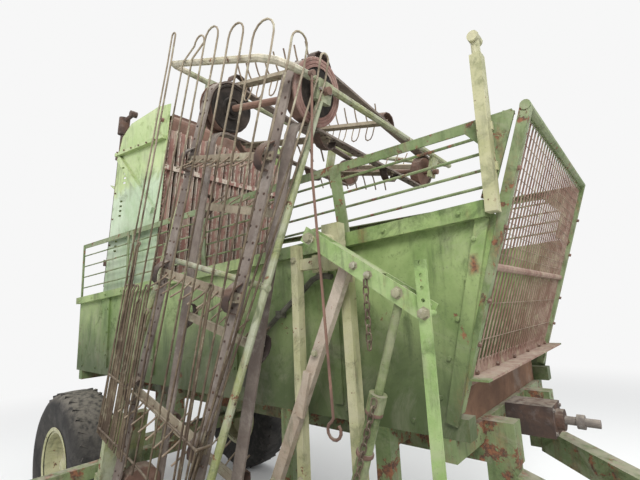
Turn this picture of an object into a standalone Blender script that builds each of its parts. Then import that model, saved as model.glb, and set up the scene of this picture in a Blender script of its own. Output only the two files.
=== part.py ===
"""Trailed one-row sugar beet harvester with a bunker, metres, +X forward, +Z up, Y=0 on the hitch line."""
import bpy
import bmesh
from math import atan2, cos, pi, radians, sin
from mathutils import Euler, Matrix, Vector

# driving dimensions
GAP = 0.0003                    # running gap left between pieces that touch
NEAR_Y = -0.20                  # outer face of the bunker's near wall
FAR_Y = 1.15                    # outer face of the bunker's far wall
REAR_X = -2.17                  # rear end of the bunker
FRONT_X = 1.60                  # front end of the bunker at its floor
FRONT_TOP_X = 1.96              # front end of the bunker at its top rail
FLANGE_END = 1.81               # front end of the wall flange, where the mast stands
SHEET = 0.004                   # wall sheet
BEAM_TOP = 1.02                 # top of the chassis
BEAM_H = 0.16                   # height of the long beams
BEAM_W = 0.09                   # width of the long beams
BEAM_Y = (0.14, 0.80)           # the two long beams
SILL_TOP = 1.095                # top of the bunker's bottom beam
FLANGE_REAR_Z = 1.71            # wall flange at the rear
FLANGE_FRONT_Z = 1.85           # wall flange at the front
RAIL_REAR_Z = 2.25              # top rail at the rear
RAIL_FRONT_Z = 2.16             # top rail at the front
AXLE_X = -1.10
WHEEL_R = 0.50
WHEEL_W = 0.30
RIM_R = 0.24                    # where the bead of the tyre sits on the rim
HUB_R = 0.029                   # bore of the hub, which runs on the stub axle
HUB_OUT = 0.075                 # outside of the hub
STUB_R = 0.028
HOSE_R = 0.014
WHEEL_STEPS = 24
WHEEL_Y = (-0.52, 1.03)         # the near and the far wheel
MAST_TOP = 2.39
LANE_Z = 0.66                   # middle of the lane frame's tubes
LANE_OUT_Y = -1.02              # outer tube of the lane frame
LANE_X = (-0.34, 0.75, 1.30)    # rear, middle and front tube of the lane frame
LANE_T = 0.07                   # lane frame tube
INNER_TOP = 0.685               # top of the lane frame's inner tube, which carries the posts
ELEV_FOOT = (0.22, -0.63, 0.50)  # middle of the finger elevator's foot shaft
ELEV_LEAN = 15.0                # degrees, forward lean of the finger elevator
WEB_X = 0.33                    # half the distance between the two belts
WEB_FOOT = (0.10, 0.0, 0.12)    # along Y, along the lean, radius: foot, head and tail turns
WEB_HEAD = (0.305, 2.17, 0.142)
WEB_TAIL = (1.50, 2.08, 0.10)
UNL_FOOT = (-1.36, 0.475, 1.12)  # foot of the unloading elevator
UNL_LEAN = 9.0
UNL_HALF = 0.475                # half its depth along X
UNL_TOP = 2.20
UNL_NEAR_Y = -0.160
UNL_HEAD_Z = 2.06               # head shaft, along the lean
UNL_SPROCKET = 0.05             # inside of the band round the head shaft
UNL_TURN = (0.05, 0.30, 0.12)   # lower turn of the band
UNL_SLATS = 14
UNL_FAR_Y = 1.11
DIG_PIVOT = (0.62, -0.63, 0.56)  # hinge of the digging unit
DIG_HALF = 0.27                 # half the width between the digging unit's side plates
ARM_PIVOT = (1.19, -0.42, 1.78)  # hinge of the lift arm
ARM_PIN = (1.56, -0.42, 1.54)   # cylinder eye on the lift arm
ARM_END = (1.66, -0.42, 1.47)   # link bolt on the lift arm
LINK_LOW = 0.63                 # lower bolt of the link bar
CYL_FOOT = (1.30, -0.42, 0.80)  # lower pin of the cylinder
DRAWBAR_X = 3.95                # middle of the hitch eye
HITCH_Z = 0.55
JACK_X = 2.75
JACK_Y = 0.16

COLL = bpy.data.collections.new("beet_harvester")
GUIDES = bpy.data.collections.new("guides")

GREEN = (0.25, 0.47, 0.22)
PALE = (0.46, 0.50, 0.24)
RUST = (0.24, 0.11, 0.07)
STEEL = (0.30, 0.24, 0.20)
BLACK = (0.03, 0.03, 0.03)
BELT = (0.12, 0.09, 0.08)
BEIGE = (0.52, 0.42, 0.32)


def clear():
    for ob in list(bpy.data.objects):
        bpy.data.objects.remove(ob, do_unlink=True)
    bpy.context.scene.collection.children.link(COLL)
    bpy.context.scene.collection.children.link(GUIDES)


def paint(ob, colour, rough=0.6, metal=0.0):
    """Give the piece its own Principled material."""
    mat = bpy.data.materials.new(ob.name + "_mat")
    mat.use_nodes = True
    node = mat.node_tree.nodes["Principled BSDF"]
    node.inputs["Base Color"].default_value = (*colour, 1.0)
    node.inputs["Roughness"].default_value = rough
    node.inputs["Metallic"].default_value = metal
    mat.diffuse_color = (*colour, 1.0)
    ob.data.materials.clear()
    ob.data.materials.append(mat)
    return ob


def lean_empty(name, at, degrees):
    """An empty whose local Z leans forward, for pieces built along a leaning frame."""
    ob = bpy.data.objects.new(name, None)
    ob.location = at
    ob.rotation_euler = Euler((0.0, radians(degrees), 0.0))
    COLL.objects.link(ob)
    return ob


def solid(bm, name="piece"):
    me = bpy.data.meshes.new(name)
    bmesh.ops.recalc_face_normals(bm, faces=bm.faces)
    bm.to_mesh(me)
    bm.free()
    ob = bpy.data.objects.new(name, me)
    GUIDES.objects.link(ob)
    return ob


def block(size, at, turn=(0, 0, 0)):
    """A box of the given size about its middle, turned in degrees."""
    bm = bmesh.new()
    bmesh.ops.create_cube(bm, size=1.0)
    rot = Euler([radians(a) for a in turn]).to_matrix().to_4x4()
    bmesh.ops.transform(bm, verts=bm.verts, matrix=Matrix.Translation(at) @ rot @ Matrix.Diagonal((*size, 1)))
    return solid(bm)


def span(x, y, z):
    """A box from its three ranges."""
    size = [b - a for a, b in (x, y, z)]
    mid = [(a + b) / 2 for a, b in (x, y, z)]
    return block(size, mid)


def bar(p0, p1, wide, deep):
    """A straight box bar between two points; wide is its level size across, or along Y when upright."""
    a, b = Vector(p0), Vector(p1)
    d = b - a
    bm = bmesh.new()
    bmesh.ops.create_cube(bm, size=1.0)
    side = Vector((-d.y, d.x, 0.0))
    side = Vector((0.0, 1.0, 0.0)) if side.length < 1e-6 else side.normalized()
    along = d.normalized()
    rot = Matrix((side, along.cross(side), along)).transposed().to_4x4()
    m = Matrix.Translation((a + b) / 2) @ rot @ Matrix.Diagonal((wide, deep, d.length, 1))
    bmesh.ops.transform(bm, verts=bm.verts, matrix=m)
    return solid(bm)


def rod(p0, p1, r, sides=12, r2=None):
    """A round bar, or a cone when it gets a second radius."""
    a, b = Vector(p0), Vector(p1)
    d = b - a
    bm = bmesh.new()
    bmesh.ops.create_cone(bm, cap_ends=True, segments=sides, radius1=r, radius2=r if r2 is None else r2,
                          depth=d.length)
    rot = d.to_track_quat("Z", "Y").to_matrix().to_4x4()
    bmesh.ops.transform(bm, verts=bm.verts, matrix=Matrix.Translation((a + b) / 2) @ rot)
    return solid(bm)


def mesh_of(curve_ob):
    """The curve's evaluated mesh as an object of its own, caps welded."""
    bpy.context.view_layer.update()
    dg = bpy.context.evaluated_depsgraph_get()
    me = bpy.data.meshes.new_from_object(curve_ob.evaluated_get(dg))
    bm = bmesh.new()
    bm.from_mesh(me)
    bmesh.ops.remove_doubles(bm, verts=bm.verts, dist=0.00005)
    bmesh.ops.recalc_face_normals(bm, faces=bm.faces)
    bm.to_mesh(me)
    bm.free()
    ob = bpy.data.objects.new("piece", me)
    ob.matrix_world = curve_ob.matrix_world
    GUIDES.objects.link(ob)
    bpy.data.objects.remove(curve_ob, do_unlink=True)
    return ob


def wires(paths, r, res=1, closed=False):
    """Round bars along several paths, as one curve object with one spline a path."""
    cu = bpy.data.curves.new("wires", "CURVE")
    cu.dimensions = "3D"
    cu.bevel_depth = r
    cu.bevel_resolution = res
    cu.use_fill_caps = True
    for path in paths:
        sp = cu.splines.new("POLY")
        sp.points.add(len(path) - 1)
        for pt, co in zip(sp.points, path):
            pt.co = (*co, 1.0)
        sp.use_cyclic_u = closed
    ob = bpy.data.objects.new("wires", cu)
    GUIDES.objects.link(ob)
    return mesh_of(ob)


def flat(outlines, thick, plane="XZ", at=0.0):
    """A flat plate from one outer outline and its holes, in the XZ, XY or YZ plane."""
    cu = bpy.data.curves.new("flat", "CURVE")
    cu.dimensions = "2D"
    cu.fill_mode = "BOTH"
    cu.extrude = thick / 2
    for line in outlines:
        sp = cu.splines.new("POLY")
        sp.points.add(len(line) - 1)
        for pt, (u, v) in zip(sp.points, line):
            pt.co = (u, v, 0.0, 1.0)
        sp.use_cyclic_u = True
    ob = bpy.data.objects.new("flat", cu)
    GUIDES.objects.link(ob)
    turn = {"XY": Matrix.Identity(4),
            "XZ": Matrix.Rotation(pi / 2, 4, "X"),
            "YZ": Matrix.Rotation(pi / 2, 4, "Z") @ Matrix.Rotation(pi / 2, 4, "X")}[plane]
    shift = {"XY": (0, 0, at), "XZ": (0, at, 0), "YZ": (at, 0, 0)}[plane]
    ob.matrix_world = Matrix.Translation(shift) @ turn
    out = mesh_of(ob)
    out.data.transform(out.matrix_world)
    out.matrix_world = Matrix.Identity(4)
    return out


def gather(pieces):
    """Several pieces as one guide mesh."""
    bm = bmesh.new()
    for ob in pieces:
        bm.from_mesh(ob.data)
        bpy.data.objects.remove(ob, do_unlink=True)
    return solid(bm)


def boolean(ob, other, operation):
    mod = ob.modifiers.new(operation.lower(), "BOOLEAN")
    mod.operation = operation
    mod.solver = "EXACT"
    mod.use_self = True
    mod.object = other
    bpy.context.view_layer.update()
    dg = bpy.context.evaluated_depsgraph_get()
    me = bpy.data.meshes.new_from_object(ob.evaluated_get(dg))
    ob.modifiers.clear()
    ob.data = me
    bpy.data.objects.remove(other, do_unlink=True)
    return ob


def fuse(name, pieces, colour, cuts=(), parent=None, origin=None, smooth=True, rough=0.6, metal=0.0):
    """Join the pieces by a union, cut the cutters out, and make the named piece of it."""
    first = pieces[0]
    if len(pieces) > 1:
        boolean(first, gather(pieces[1:]), "UNION")
    if cuts:
        boolean(first, gather(list(cuts)), "DIFFERENCE")
    me = first.data
    bm = bmesh.new()
    bm.from_mesh(me)
    bmesh.ops.dissolve_degenerate(bm, edges=bm.edges, dist=0.000002)
    bm.to_mesh(me)
    bm.free()
    GUIDES.objects.unlink(first)
    COLL.objects.link(first)
    first.name = name
    me.name = name
    if origin is not None:
        me.transform(Matrix.Translation(-Vector(origin)))
        first.location = origin
    if parent is not None:
        first.parent = parent
    if smooth:
        me.shade_smooth()
        me.set_sharp_from_angle(angle=radians(35))
    return paint(first, colour, rough, metal)


def lerp(a, b, t):
    return a + (b - a) * t


def arc(cx, cy, r, a0, a1, n):
    """Points on an arc, angles in degrees."""
    out = []
    for i in range(n + 1):
        a = radians(lerp(a0, a1, i / n))
        out.append((cx + r * cos(a), cy + r * sin(a)))
    return out


def flange_z(x):
    return lerp(FLANGE_REAR_Z, FLANGE_FRONT_Z, (x - REAR_X) / (1.83 - REAR_X))


def rail_z(x):
    return lerp(RAIL_REAR_Z, RAIL_FRONT_Z, (x - REAR_X) / (FRONT_TOP_X - REAR_X))


def front_x(z):
    """Where the leaning front end stands at a height."""
    return lerp(FRONT_X, FRONT_TOP_X, (z - SILL_TOP) / (RAIL_FRONT_Z - SILL_TOP))


# chassis, axle and wheels
def chassis():
    low = BEAM_TOP - BEAM_H
    parts = [span((-2.10, 1.72), (BEAM_Y[0] - BEAM_W / 2, BEAM_Y[0] + BEAM_W / 2), (low, BEAM_TOP))]
    parts.append(span((-2.10, 1.72), (BEAM_Y[1] - BEAM_W / 2, BEAM_Y[1] + BEAM_W / 2), (low, BEAM_TOP)))
    for x, end in ((-2.06, FAR_Y), (AXLE_X, BEAM_Y[1]), (LANE_X[0], FAR_Y), (LANE_X[1], FAR_Y), (LANE_X[2], FAR_Y),
                   (1.57, FAR_Y)):
        parts.append(span((x - 0.035, x + 0.035), (NEAR_Y, end), (BEAM_TOP - 0.08, BEAM_TOP)))
    half = LANE_T / 2
    for x in LANE_X:
        parts.append(span((x - half, x + half), (NEAR_Y, NEAR_Y + LANE_T), (LANE_Z - half, BEAM_TOP - 0.01)))
        parts.append(span((x - half, x + half), (LANE_OUT_Y - half, NEAR_Y + 0.01),
                          (LANE_Z - half, LANE_Z + half)))
    parts.append(span((LANE_X[0] - 0.01, LANE_X[2] + 0.01), (LANE_OUT_Y - 0.03, LANE_OUT_Y + 0.03),
                      (LANE_Z - 0.03, LANE_Z + 0.03)))
    parts.append(span((LANE_X[1] - 0.01, LANE_X[2] + 0.01), (-0.39, -0.31), (INNER_TOP - 0.05, INNER_TOP)))
    px, py, pz = DIG_PIVOT
    for s in (-1, 1):
        y = py + s * DIG_HALF
        lug = y - s * 0.014
        parts.append(flat([[(px - 0.03, pz - 0.03), (px + 0.03, pz - 0.03), (LANE_X[1] + 0.02, LANE_Z - 0.02),
                            (LANE_X[1] - 0.02, LANE_Z + 0.02), (px - 0.03, pz + 0.03)]], 0.008, "XZ", lug))
        parts.append(rod((px, y - 0.028, pz), (px, y + 0.028, pz), 0.018, 16))
    for y in BEAM_Y:
        parts.append(span((AXLE_X - 0.09, AXLE_X + 0.09), (y - 0.03, y + 0.03), (WHEEL_R + 0.04, low + 0.02)))
    parts.append(span((AXLE_X - 0.05, AXLE_X + 0.05), (WHEEL_Y[0] + 0.19, WHEEL_Y[1] - 0.19),
                      (WHEEL_R - 0.05, WHEEL_R + 0.05)))
    for y, s in ((WHEEL_Y[0], 1), (WHEEL_Y[1], -1)):
        parts.append(rod((AXLE_X, y + s * 0.20, WHEEL_R), (AXLE_X, y - s * 0.035, WHEEL_R), STUB_R, 16))
    fuse("chassis_frame", parts, GREEN)


def wheel(tag, y, outward):
    prof = [(RIM_R, 0.125), (0.27, 0.135), (0.40, WHEEL_W / 2), (0.47, 0.135), (WHEEL_R, 0.10),
            (WHEEL_R, -0.10), (0.47, -0.135), (0.40, -WHEEL_W / 2), (0.27, -0.135), (RIM_R, -0.125), (RIM_R, 0.125)]
    for name, points, colour in (
            ("tyre_" + tag, prof, BLACK),
            ("rim_" + tag, [(RIM_R - GAP, 0.12), (RIM_R - GAP, -0.12), (0.226, -0.12), (0.216, -0.045),
                            (0.160, -0.012), (HUB_OUT, -0.012), (HUB_OUT, -0.03), (HUB_R, -0.03), (HUB_R, 0.06),
                            (HUB_OUT, 0.06), (HUB_OUT, 0.006), (0.158, 0.006), (0.210, -0.022), (0.222, 0.12),
                            (RIM_R - GAP, 0.12)], PALE)):
        me = bpy.data.meshes.new(name)
        bm = bmesh.new()
        vs = [bm.verts.new((r, 0.0, h)) for r, h in points[:-1]]
        vs.append(vs[0])
        for a, b in zip(vs, vs[1:]):
            bm.edges.new((a, b))
        bm.to_mesh(me)
        bm.free()
        ob = bpy.data.objects.new(name, me)
        COLL.objects.link(ob)
        mod = ob.modifiers.new("screw", "SCREW")
        mod.axis = "Z"
        mod.steps = mod.render_steps = WHEEL_STEPS
        mod.use_merge_vertices = True
        mod.merge_threshold = 0.0001
        ob.location = (AXLE_X, y, WHEEL_R)
        ob.rotation_euler = Euler((radians(-90 * outward), 0, 0))
        me.shade_smooth()
        paint(ob, colour, 0.85 if "tyre" in name else 0.6)


def drawbar():
    z = HITCH_Z
    parts = [bar((1.68, BEAM_Y[0], 0.765), (2.15, BEAM_Y[0] - 0.02, 0.62), 0.10, 0.14)]
    parts.append(bar((1.68, BEAM_Y[1] - 0.02, 0.785), (2.65, 0.14, 0.60), 0.08, 0.12))
    parts.append(bar((2.05, BEAM_Y[0] - 0.02, 0.64), (3.70, 0.0, z), 0.10, 0.14))
    for y in BEAM_Y:
        parts.append(span((1.60, 1.71), (y - 0.045, y + 0.045), (0.74, BEAM_TOP - BEAM_H - GAP)))
    parts.append(rod((3.66, 0, z), (3.90, 0, z), 0.035, 16))
    parts.append(rod((DRAWBAR_X, 0, z - 0.025), (DRAWBAR_X, 0, z + 0.025), 0.065, 24))
    parts.append(span((JACK_X - 0.05, JACK_X + 0.05), (0.06, JACK_Y - 0.03 - GAP), (z - 0.01, z + 0.11)))
    fuse("drawbar", parts, GREEN, cuts=[rod((DRAWBAR_X, 0, z - 0.05), (DRAWBAR_X, 0, z + 0.05), 0.027, 24)])
    tube = [span((JACK_X - 0.03, JACK_X + 0.03), (JACK_Y - 0.03, JACK_Y + 0.03), (0.30, 0.95))]
    tube.append(rod((JACK_X, JACK_Y - 0.01, 0.90), (JACK_X, JACK_Y + 0.10, 0.90), 0.010, 10))
    tube.append(rod((JACK_X, JACK_Y + 0.095, 0.905), (JACK_X, JACK_Y + 0.095, 0.80), 0.008, 8))
    fuse("jack_tube", tube, STEEL,
         cuts=[span((JACK_X - 0.023, JACK_X + 0.023), (JACK_Y - 0.023, JACK_Y + 0.023),
                                              (0.20, 0.86))])
    leg = [span((JACK_X - 0.0225, JACK_X + 0.0225), (JACK_Y - 0.0225, JACK_Y + 0.0225), (0.01, 0.62))]
    leg.append(span((JACK_X - 0.09, JACK_X + 0.09), (JACK_Y - 0.09, JACK_Y + 0.09), (0.0, 0.012)))
    fuse("jack_leg", leg, STEEL)


# bunker
def bunker():
    top = BEAM_TOP + GAP
    floor = [span((REAR_X + 0.01, FRONT_X - 0.02), (NEAR_Y + 0.075, FAR_Y - 0.075), (top, top + 0.006))]
    for x in (-1.9, -1.2, -0.5, 0.2, 0.9, 1.4):
        floor.append(span((x - 0.02, x + 0.02), (NEAR_Y + 0.08, FAR_Y - 0.08), (top + 0.004, top + 0.012)))
    floor.append(span((FRONT_X - 0.026, FRONT_X - 0.020), (NEAR_Y + 0.075, FAR_Y - 0.075), (top, 1.16)))
    fuse("bunker_floor", floor, STEEL)
    for tag, y, s in (("near", NEAR_Y, 1), ("far", FAR_Y, -1)):
        inner = y + s * SHEET
        mid = y + s * SHEET / 2
        lo = BEAM_TOP + GAP
        outline = [(REAR_X, lo + 0.03), (FRONT_X, lo + 0.03), (front_x(1.79), 1.79),
                   (FLANGE_END, flange_z(FLANGE_END) - 0.01),
                   (REAR_X, flange_z(REAR_X) - 0.01)]
        parts = [flat([outline], SHEET, "XZ", mid)]
        parts.append(span((REAR_X, FRONT_X + 0.06), (min(y, y + s * 0.07), max(y, y + s * 0.07)), (lo, SILL_TOP)))
        out = y - s * 0.02
        parts.append(bar((REAR_X, out + s * 0.002, flange_z(REAR_X) - 0.03), (FLANGE_END, out + s * 0.002,
                         flange_z(FLANGE_END) - 0.03), 0.045, 0.06))
        parts.append(bar((FRONT_X + 0.005, y - s * 0.009, SILL_TOP - 0.02),
                         (FLANGE_END - 0.02, y - s * 0.009, 1.79),
                         0.020, 0.045))
        for x in (-1.45, -0.62, 0.36, 1.10):
            parts.append(span((x - 0.02, x + 0.02), (min(y - s * 0.014, y), max(y - s * 0.014, y + s * 0.002)),
                              (SILL_TOP - 0.01, flange_z(x) - 0.03)))
        fuse("wall_" + tag, parts, GREEN)
    rear = [span((REAR_X, REAR_X + SHEET), (NEAR_Y + 0.0705, FAR_Y - 0.0705), (top + 0.0125, 1.70))]
    rear.append(span((REAR_X - 0.03, REAR_X + 0.002), (NEAR_Y + 0.01, FAR_Y - 0.01), (1.63, 1.66)))
    rear.append(span((REAR_X - 0.03, REAR_X + 0.002), (NEAR_Y + 0.075, FAR_Y - 0.075), (1.10, 1.15)))
    fuse("wall_rear", rear, GREEN)
    rails()
    grille()


POSTS = [  # name, x at the foot, x at the top, width along X
    ("left", REAR_X + 0.03, REAR_X + 0.02, 0.035),
    ("cream", -1.12, -1.12, 0.030),
    ("red", -1.03, -1.03, 0.028),
    ("middle", 0.02, 0.02, 0.040),
    ("wide", 1.17, 1.13, 0.060),
    ("corner", 1.81, 1.92, 0.040),
]
RAIL_RODS = (0.18, 0.38, 0.58, 0.78)   # heights of the four rods as fractions of the opening


def rails():
    for tag, y, s in (("near", NEAR_Y, 1), ("far", FAR_Y, -1)):
        y0 = y + s * 0.020
        parts = []
        parts.append(bar((REAR_X, y0, rail_z(REAR_X) - 0.004), (FRONT_TOP_X - 0.03, y0, rail_z(1.93) - 0.004),
                         0.045, 0.006))
        parts.append(bar((REAR_X, y + s * 0.001, rail_z(REAR_X) - 0.022),
                         (FRONT_TOP_X - 0.03, y + s * 0.001, rail_z(1.93) - 0.022), 0.006, 0.04))
        for _, x0, x1, w in POSTS:
            slope = (FLANGE_FRONT_Z - FLANGE_REAR_Z) / (1.83 - REAR_X)
            z1 = rail_z(x1) - 0.006
            lean = abs(x1 - x0) / (z1 - flange_z(x0))
            z0 = flange_z(x0) + 2 * GAP + w / 2 * (slope + lean)
            parts.append(bar((x0, y - s * 0.001, z0), (x1, y - s * 0.001, z1), 0.010, w))
        top_x, top_z = FRONT_TOP_X - 0.05, rail_z(1.9) - 0.02
        parts.append(flat([[(top_x, top_z), (top_x - 0.17, top_z + 0.004), (top_x - 0.035, top_z - 0.16)]], 0.006, "XZ",
                          y + s * 0.001))
        lines = []
        for f in RAIL_RODS:
            a = lerp(flange_z(REAR_X), rail_z(REAR_X), f)
            b = lerp(flange_z(1.85), rail_z(1.90), f)
            lines.append([(REAR_X + 0.02, y + s * 0.006, a), (lerp(1.82, 1.92, f), y + s * 0.006, b)])
        parts.append(wires(lines, 0.006, 1))
        fuse("rails_" + tag, parts, GREEN)


GRILLE_RODS = 30
GRILLE_FOOT_Z = 1.24            # height of the channel at the foot of the grille
GRILLE_OUT = 0.012              # the grille stands this far in front of the walls' slanting ends


def grille():
    """The front end: two edge posts, top, middle and bottom members and a row of upright rods."""
    parts = []
    y0, y1 = NEAR_Y + 0.05, FAR_Y - 0.05
    foot, zb, zt = SILL_TOP + 0.0205 + GAP, GRILLE_FOOT_Z, RAIL_FRONT_Z

    def at(z, y):
        return (front_x(z) + GRILLE_OUT, y, z)

    side = 0.035 / 2 + SHEET + GAP
    for y in (NEAR_Y + side, FAR_Y - side):
        parts.append(bar(at(foot, y), at(zt, y), 0.035, 0.035))
    parts.append(rod(at(zt, y0 - 0.05), at(zt, y1 + 0.05), 0.018, 12))
    parts.append(rod(at(1.62, y0 - 0.03), at(1.62, y1 + 0.03), 0.015, 10))
    parts.append(bar(at(zb, y0 - 0.04), at(zb, y1 + 0.04), 0.012, 0.075))
    lip = front_x(zb) + GRILLE_OUT + 0.0375
    parts.append(bar((lip, y0 - 0.04, zb - 0.012), (lip, y1 + 0.04, zb - 0.012), 0.085, 0.008))
    lines = []
    for i in range(GRILLE_RODS):
        y = lerp(y0, y1, (i + 0.5) / GRILLE_RODS)
        lines.append([at(zb, y), at(zt, y)])
    parts.append(wires(lines, 0.0035, 0))
    fuse("front_grille", parts, RUST)
    x = FLANGE_END + 0.0255
    z0 = flange_z(x) + GAP
    post = [bar((x, NEAR_Y - 0.032, z0 - 0.05), (x + 0.01, NEAR_Y - 0.032, MAST_TOP), 0.05, 0.04)]
    post.append(rod((x + 0.01, NEAR_Y - 0.032, MAST_TOP - 0.01),
                    (x + 0.01, NEAR_Y - 0.032, MAST_TOP + 0.09), 0.016, 12))
    post.append(rod((x + 0.01, NEAR_Y - 0.060, MAST_TOP + 0.07), (x + 0.01, NEAR_Y, MAST_TOP + 0.07), 0.020, 12))
    for z in (1.95, 2.10):
        post.append(span((x - 0.02, x + 0.03), (NEAR_Y - 0.02, NEAR_Y - 0.0065), (z, z + 0.03)))
    fuse("mast", post, PALE)


# unloading elevator
UNL_SLOTS = ((1.20, 0.0), (1.53, 0.02), (1.84, 0.04))   # height and shift of each group of four slots


def unloader():
    base = lean_empty("unloader_base", UNL_FOOT, UNL_LEAN)
    fx, fy, _ = UNL_FOOT
    h = UNL_HALF
    for tag, y in (("near", UNL_NEAR_Y - fy + 0.01), ("far", UNL_FAR_Y - fy - 0.01)):
        s = 1 if tag == "near" else -1
        top = [(h, UNL_TOP - 0.02), (h - 0.22, UNL_TOP), (-h + 0.22, UNL_TOP - 0.05), (-h + 0.05, UNL_TOP - 0.15),
               (-h, UNL_TOP - 0.30)]
        rise = radians(UNL_LEAN)
        low = [((SILL_TOP + GAP - UNL_FOOT[2] + x * sin(rise)) / cos(rise) + 0.0002) for x in (-h, h)]
        outline = [(-h, low[0]), (h, low[1])] + top
        parts = [flat([outline], 0.005, "XZ", y)]
        parts.append(bar((-h + 0.01, y - s * 0.02, UNL_TOP - 0.33), (h - 0.01, y - s * 0.02, UNL_TOP - 0.30),
                         0.045, 0.03))
        parts.append(bar((-h + 0.05, y - s * 0.012, UNL_TOP - 0.36), (h - 0.10, y - s * 0.012, 1.30), 0.03, 0.06))
        cuts = [rod((h - 0.10, y - 0.1, UNL_HEAD_Z), (h - 0.10, y + 0.1, UNL_HEAD_Z), 0.0185, 16)]
        for z, dx in UNL_SLOTS:
            for i in range(4):
                cuts.append(block((0.06, 0.2, 0.018), (-h + 0.16 + dx, y, z + 0.045 * i - 0.25)))
        fuse("unloader_plate_" + tag, parts, GREEN, cuts=cuts, parent=base)
    ya, yb = UNL_NEAR_Y - fy + 0.0125 + GAP, UNL_FAR_Y - fy - 0.0125 - GAP
    count = 13
    channels = []
    cuts = []
    for i in range(count):
        y = lerp(ya + 0.05, yb - 0.05, i / (count - 1))
        channels.append(span((h - 0.05, h - 0.01), (y - 0.032, y + 0.032), (0.58, UNL_HEAD_Z - 0.08)))
        cuts.append(span((h - 0.035, h), (y - 0.026, y + 0.026), (0.5, UNL_HEAD_Z)))
    ribs = [span((h - 0.03, h - 0.001), (ya, yb), (z - 0.02, z + 0.02)) for z in (0.62, 1.66)]
    ribs.append(boolean(gather(channels), gather(cuts), "DIFFERENCE"))
    fuse("unloader_ribs", ribs, RUST, parent=base)
    hx, hz = h - 0.10, UNL_HEAD_Z
    shaft = [rod((0, ya - 0.03, 0), (0, yb + 0.03, 0), 0.018, 12)]
    for y in (ya + 0.08, yb - 0.08):
        shaft.append(rod((0, y - 0.012, 0), (0, y + 0.012, 0), UNL_SPROCKET * cos(pi / 18) - GAP, 18))
    head = fuse("unloader_head_shaft", shaft, RUST)
    head.location = (hx, 0, hz)
    head.parent = base
    bx, bz, br = UNL_TURN

    def ring(grow):
        lean = atan2(hx - bx, hz - bz) * 180 / pi
        return (arc(hx, hz, UNL_SPROCKET + grow, -lean - 4, 180 - lean + 4, 9)
                + arc(bx, bz, br + grow, 180 - lean + 4, 360 - lean - 4, 9))

    band = [flat([ring(0.008), ring(0.0)], yb - ya - 0.10, "XZ", (ya + yb) / 2)]
    for p, nrm, tan in path_points(ring(0.008), UNL_SLATS, 0.30):
        a = -atan2(tan.y, tan.x) * 180 / pi
        band.append(block((0.012, yb - ya - 0.12, 0.024), (p.x - nrm.x * 0.008, (ya + yb) / 2, p.y - nrm.y * 0.008),
                          (0, a, 0)))
    fuse("unloader_band", band, STEEL, parent=base)
    rear = [span((-h + 0.002, -h + 0.007), (ya, yb), (0.62, 1.50))]
    rear.append(bar((-h + 0.005, (ya + yb) / 2, 1.49), (-h - 0.30, (ya + yb) / 2, 1.62), yb - ya - 0.12, 0.006))
    fuse("unloader_rear_sheet", rear, GREEN, parent=base)
    ys = ya + 0.03
    side = [rod((-h - 0.045, ys, 0.60), (-h - 0.045, ys, 2.12), 0.022, 12)]
    side.append(rod((-h - 0.045, ys, 2.10), (-h - 0.045, ys, 2.27), 0.05, 14))
    side.append(rod((-h - 0.045, ys, 2.24), (-h + 0.16, ys, 2.27), 0.020, 10))
    side.append(rod((-h + 0.15, ys - 0.03, 2.27), (-h + 0.15, ys + 0.03, 2.27), 0.030, 12))
    side.append(span((-h - 0.07, -h - GAP), (ya - 0.008, ys), (1.84, 1.90)))
    side.append(span((-h - 0.07, -h - GAP), (ya - 0.008, ys), (0.80, 0.86)))
    fuse("unloader_side_tube", side, STEEL, parent=base)


# finger elevator
def web_path(grow, n=9):
    """The finger web's loop in the (Y, lean) plane, moved out from its turns by grow."""
    fy, fz, fr = WEB_FOOT
    hy, hz, hr = WEB_HEAD
    ty, tz, tr = WEB_TAIL
    up = atan2(hz - fz, hy - fy) * 180 / pi
    pts = arc(fy, fz, fr + grow, up + 90 + 180, up + 90, n)
    pts += arc(hy, hz, hr + grow, up + 90, 90 - 3, n)
    pts += arc(ty, tz, tr + grow, 90 - 3, -90, n)
    pts += arc(0.30, 1.95, 0.08 - grow, 90, 180, 4)
    return pts


def path_points(path, count, offset=0.0):
    """Evenly spaced points and outward normals along a closed path."""
    n = len(path)
    seg = [(Vector(path[i]), Vector(path[(i + 1) % n])) for i in range(n)]
    total = sum((b - a).length for a, b in seg)
    out = []
    for k in range(count):
        d = (k + offset) * total / count
        for a, b in seg:
            ln = (b - a).length
            if d <= ln:
                t = (b - a) / ln
                out.append((a + t * d, Vector((-t.y, t.x)), t))
                break
            d -= ln
    return out


FINGER_BARS = 12
FINGERS = 6


ARCH_Y = 0.02                   # the arch stands this far behind the foot shaft
ARCH_X = (-0.53, 0.415)         # the arch's rear and front corner
TUBE_END = 1.76                 # how far its two tubes reach over the bunker


def arch_z(x):
    """Height along the lean of the arch tube, which drops towards the front."""
    return lerp(2.353, 2.205, (x - ARCH_X[0]) / (ARCH_X[1] - ARCH_X[0]))


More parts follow.
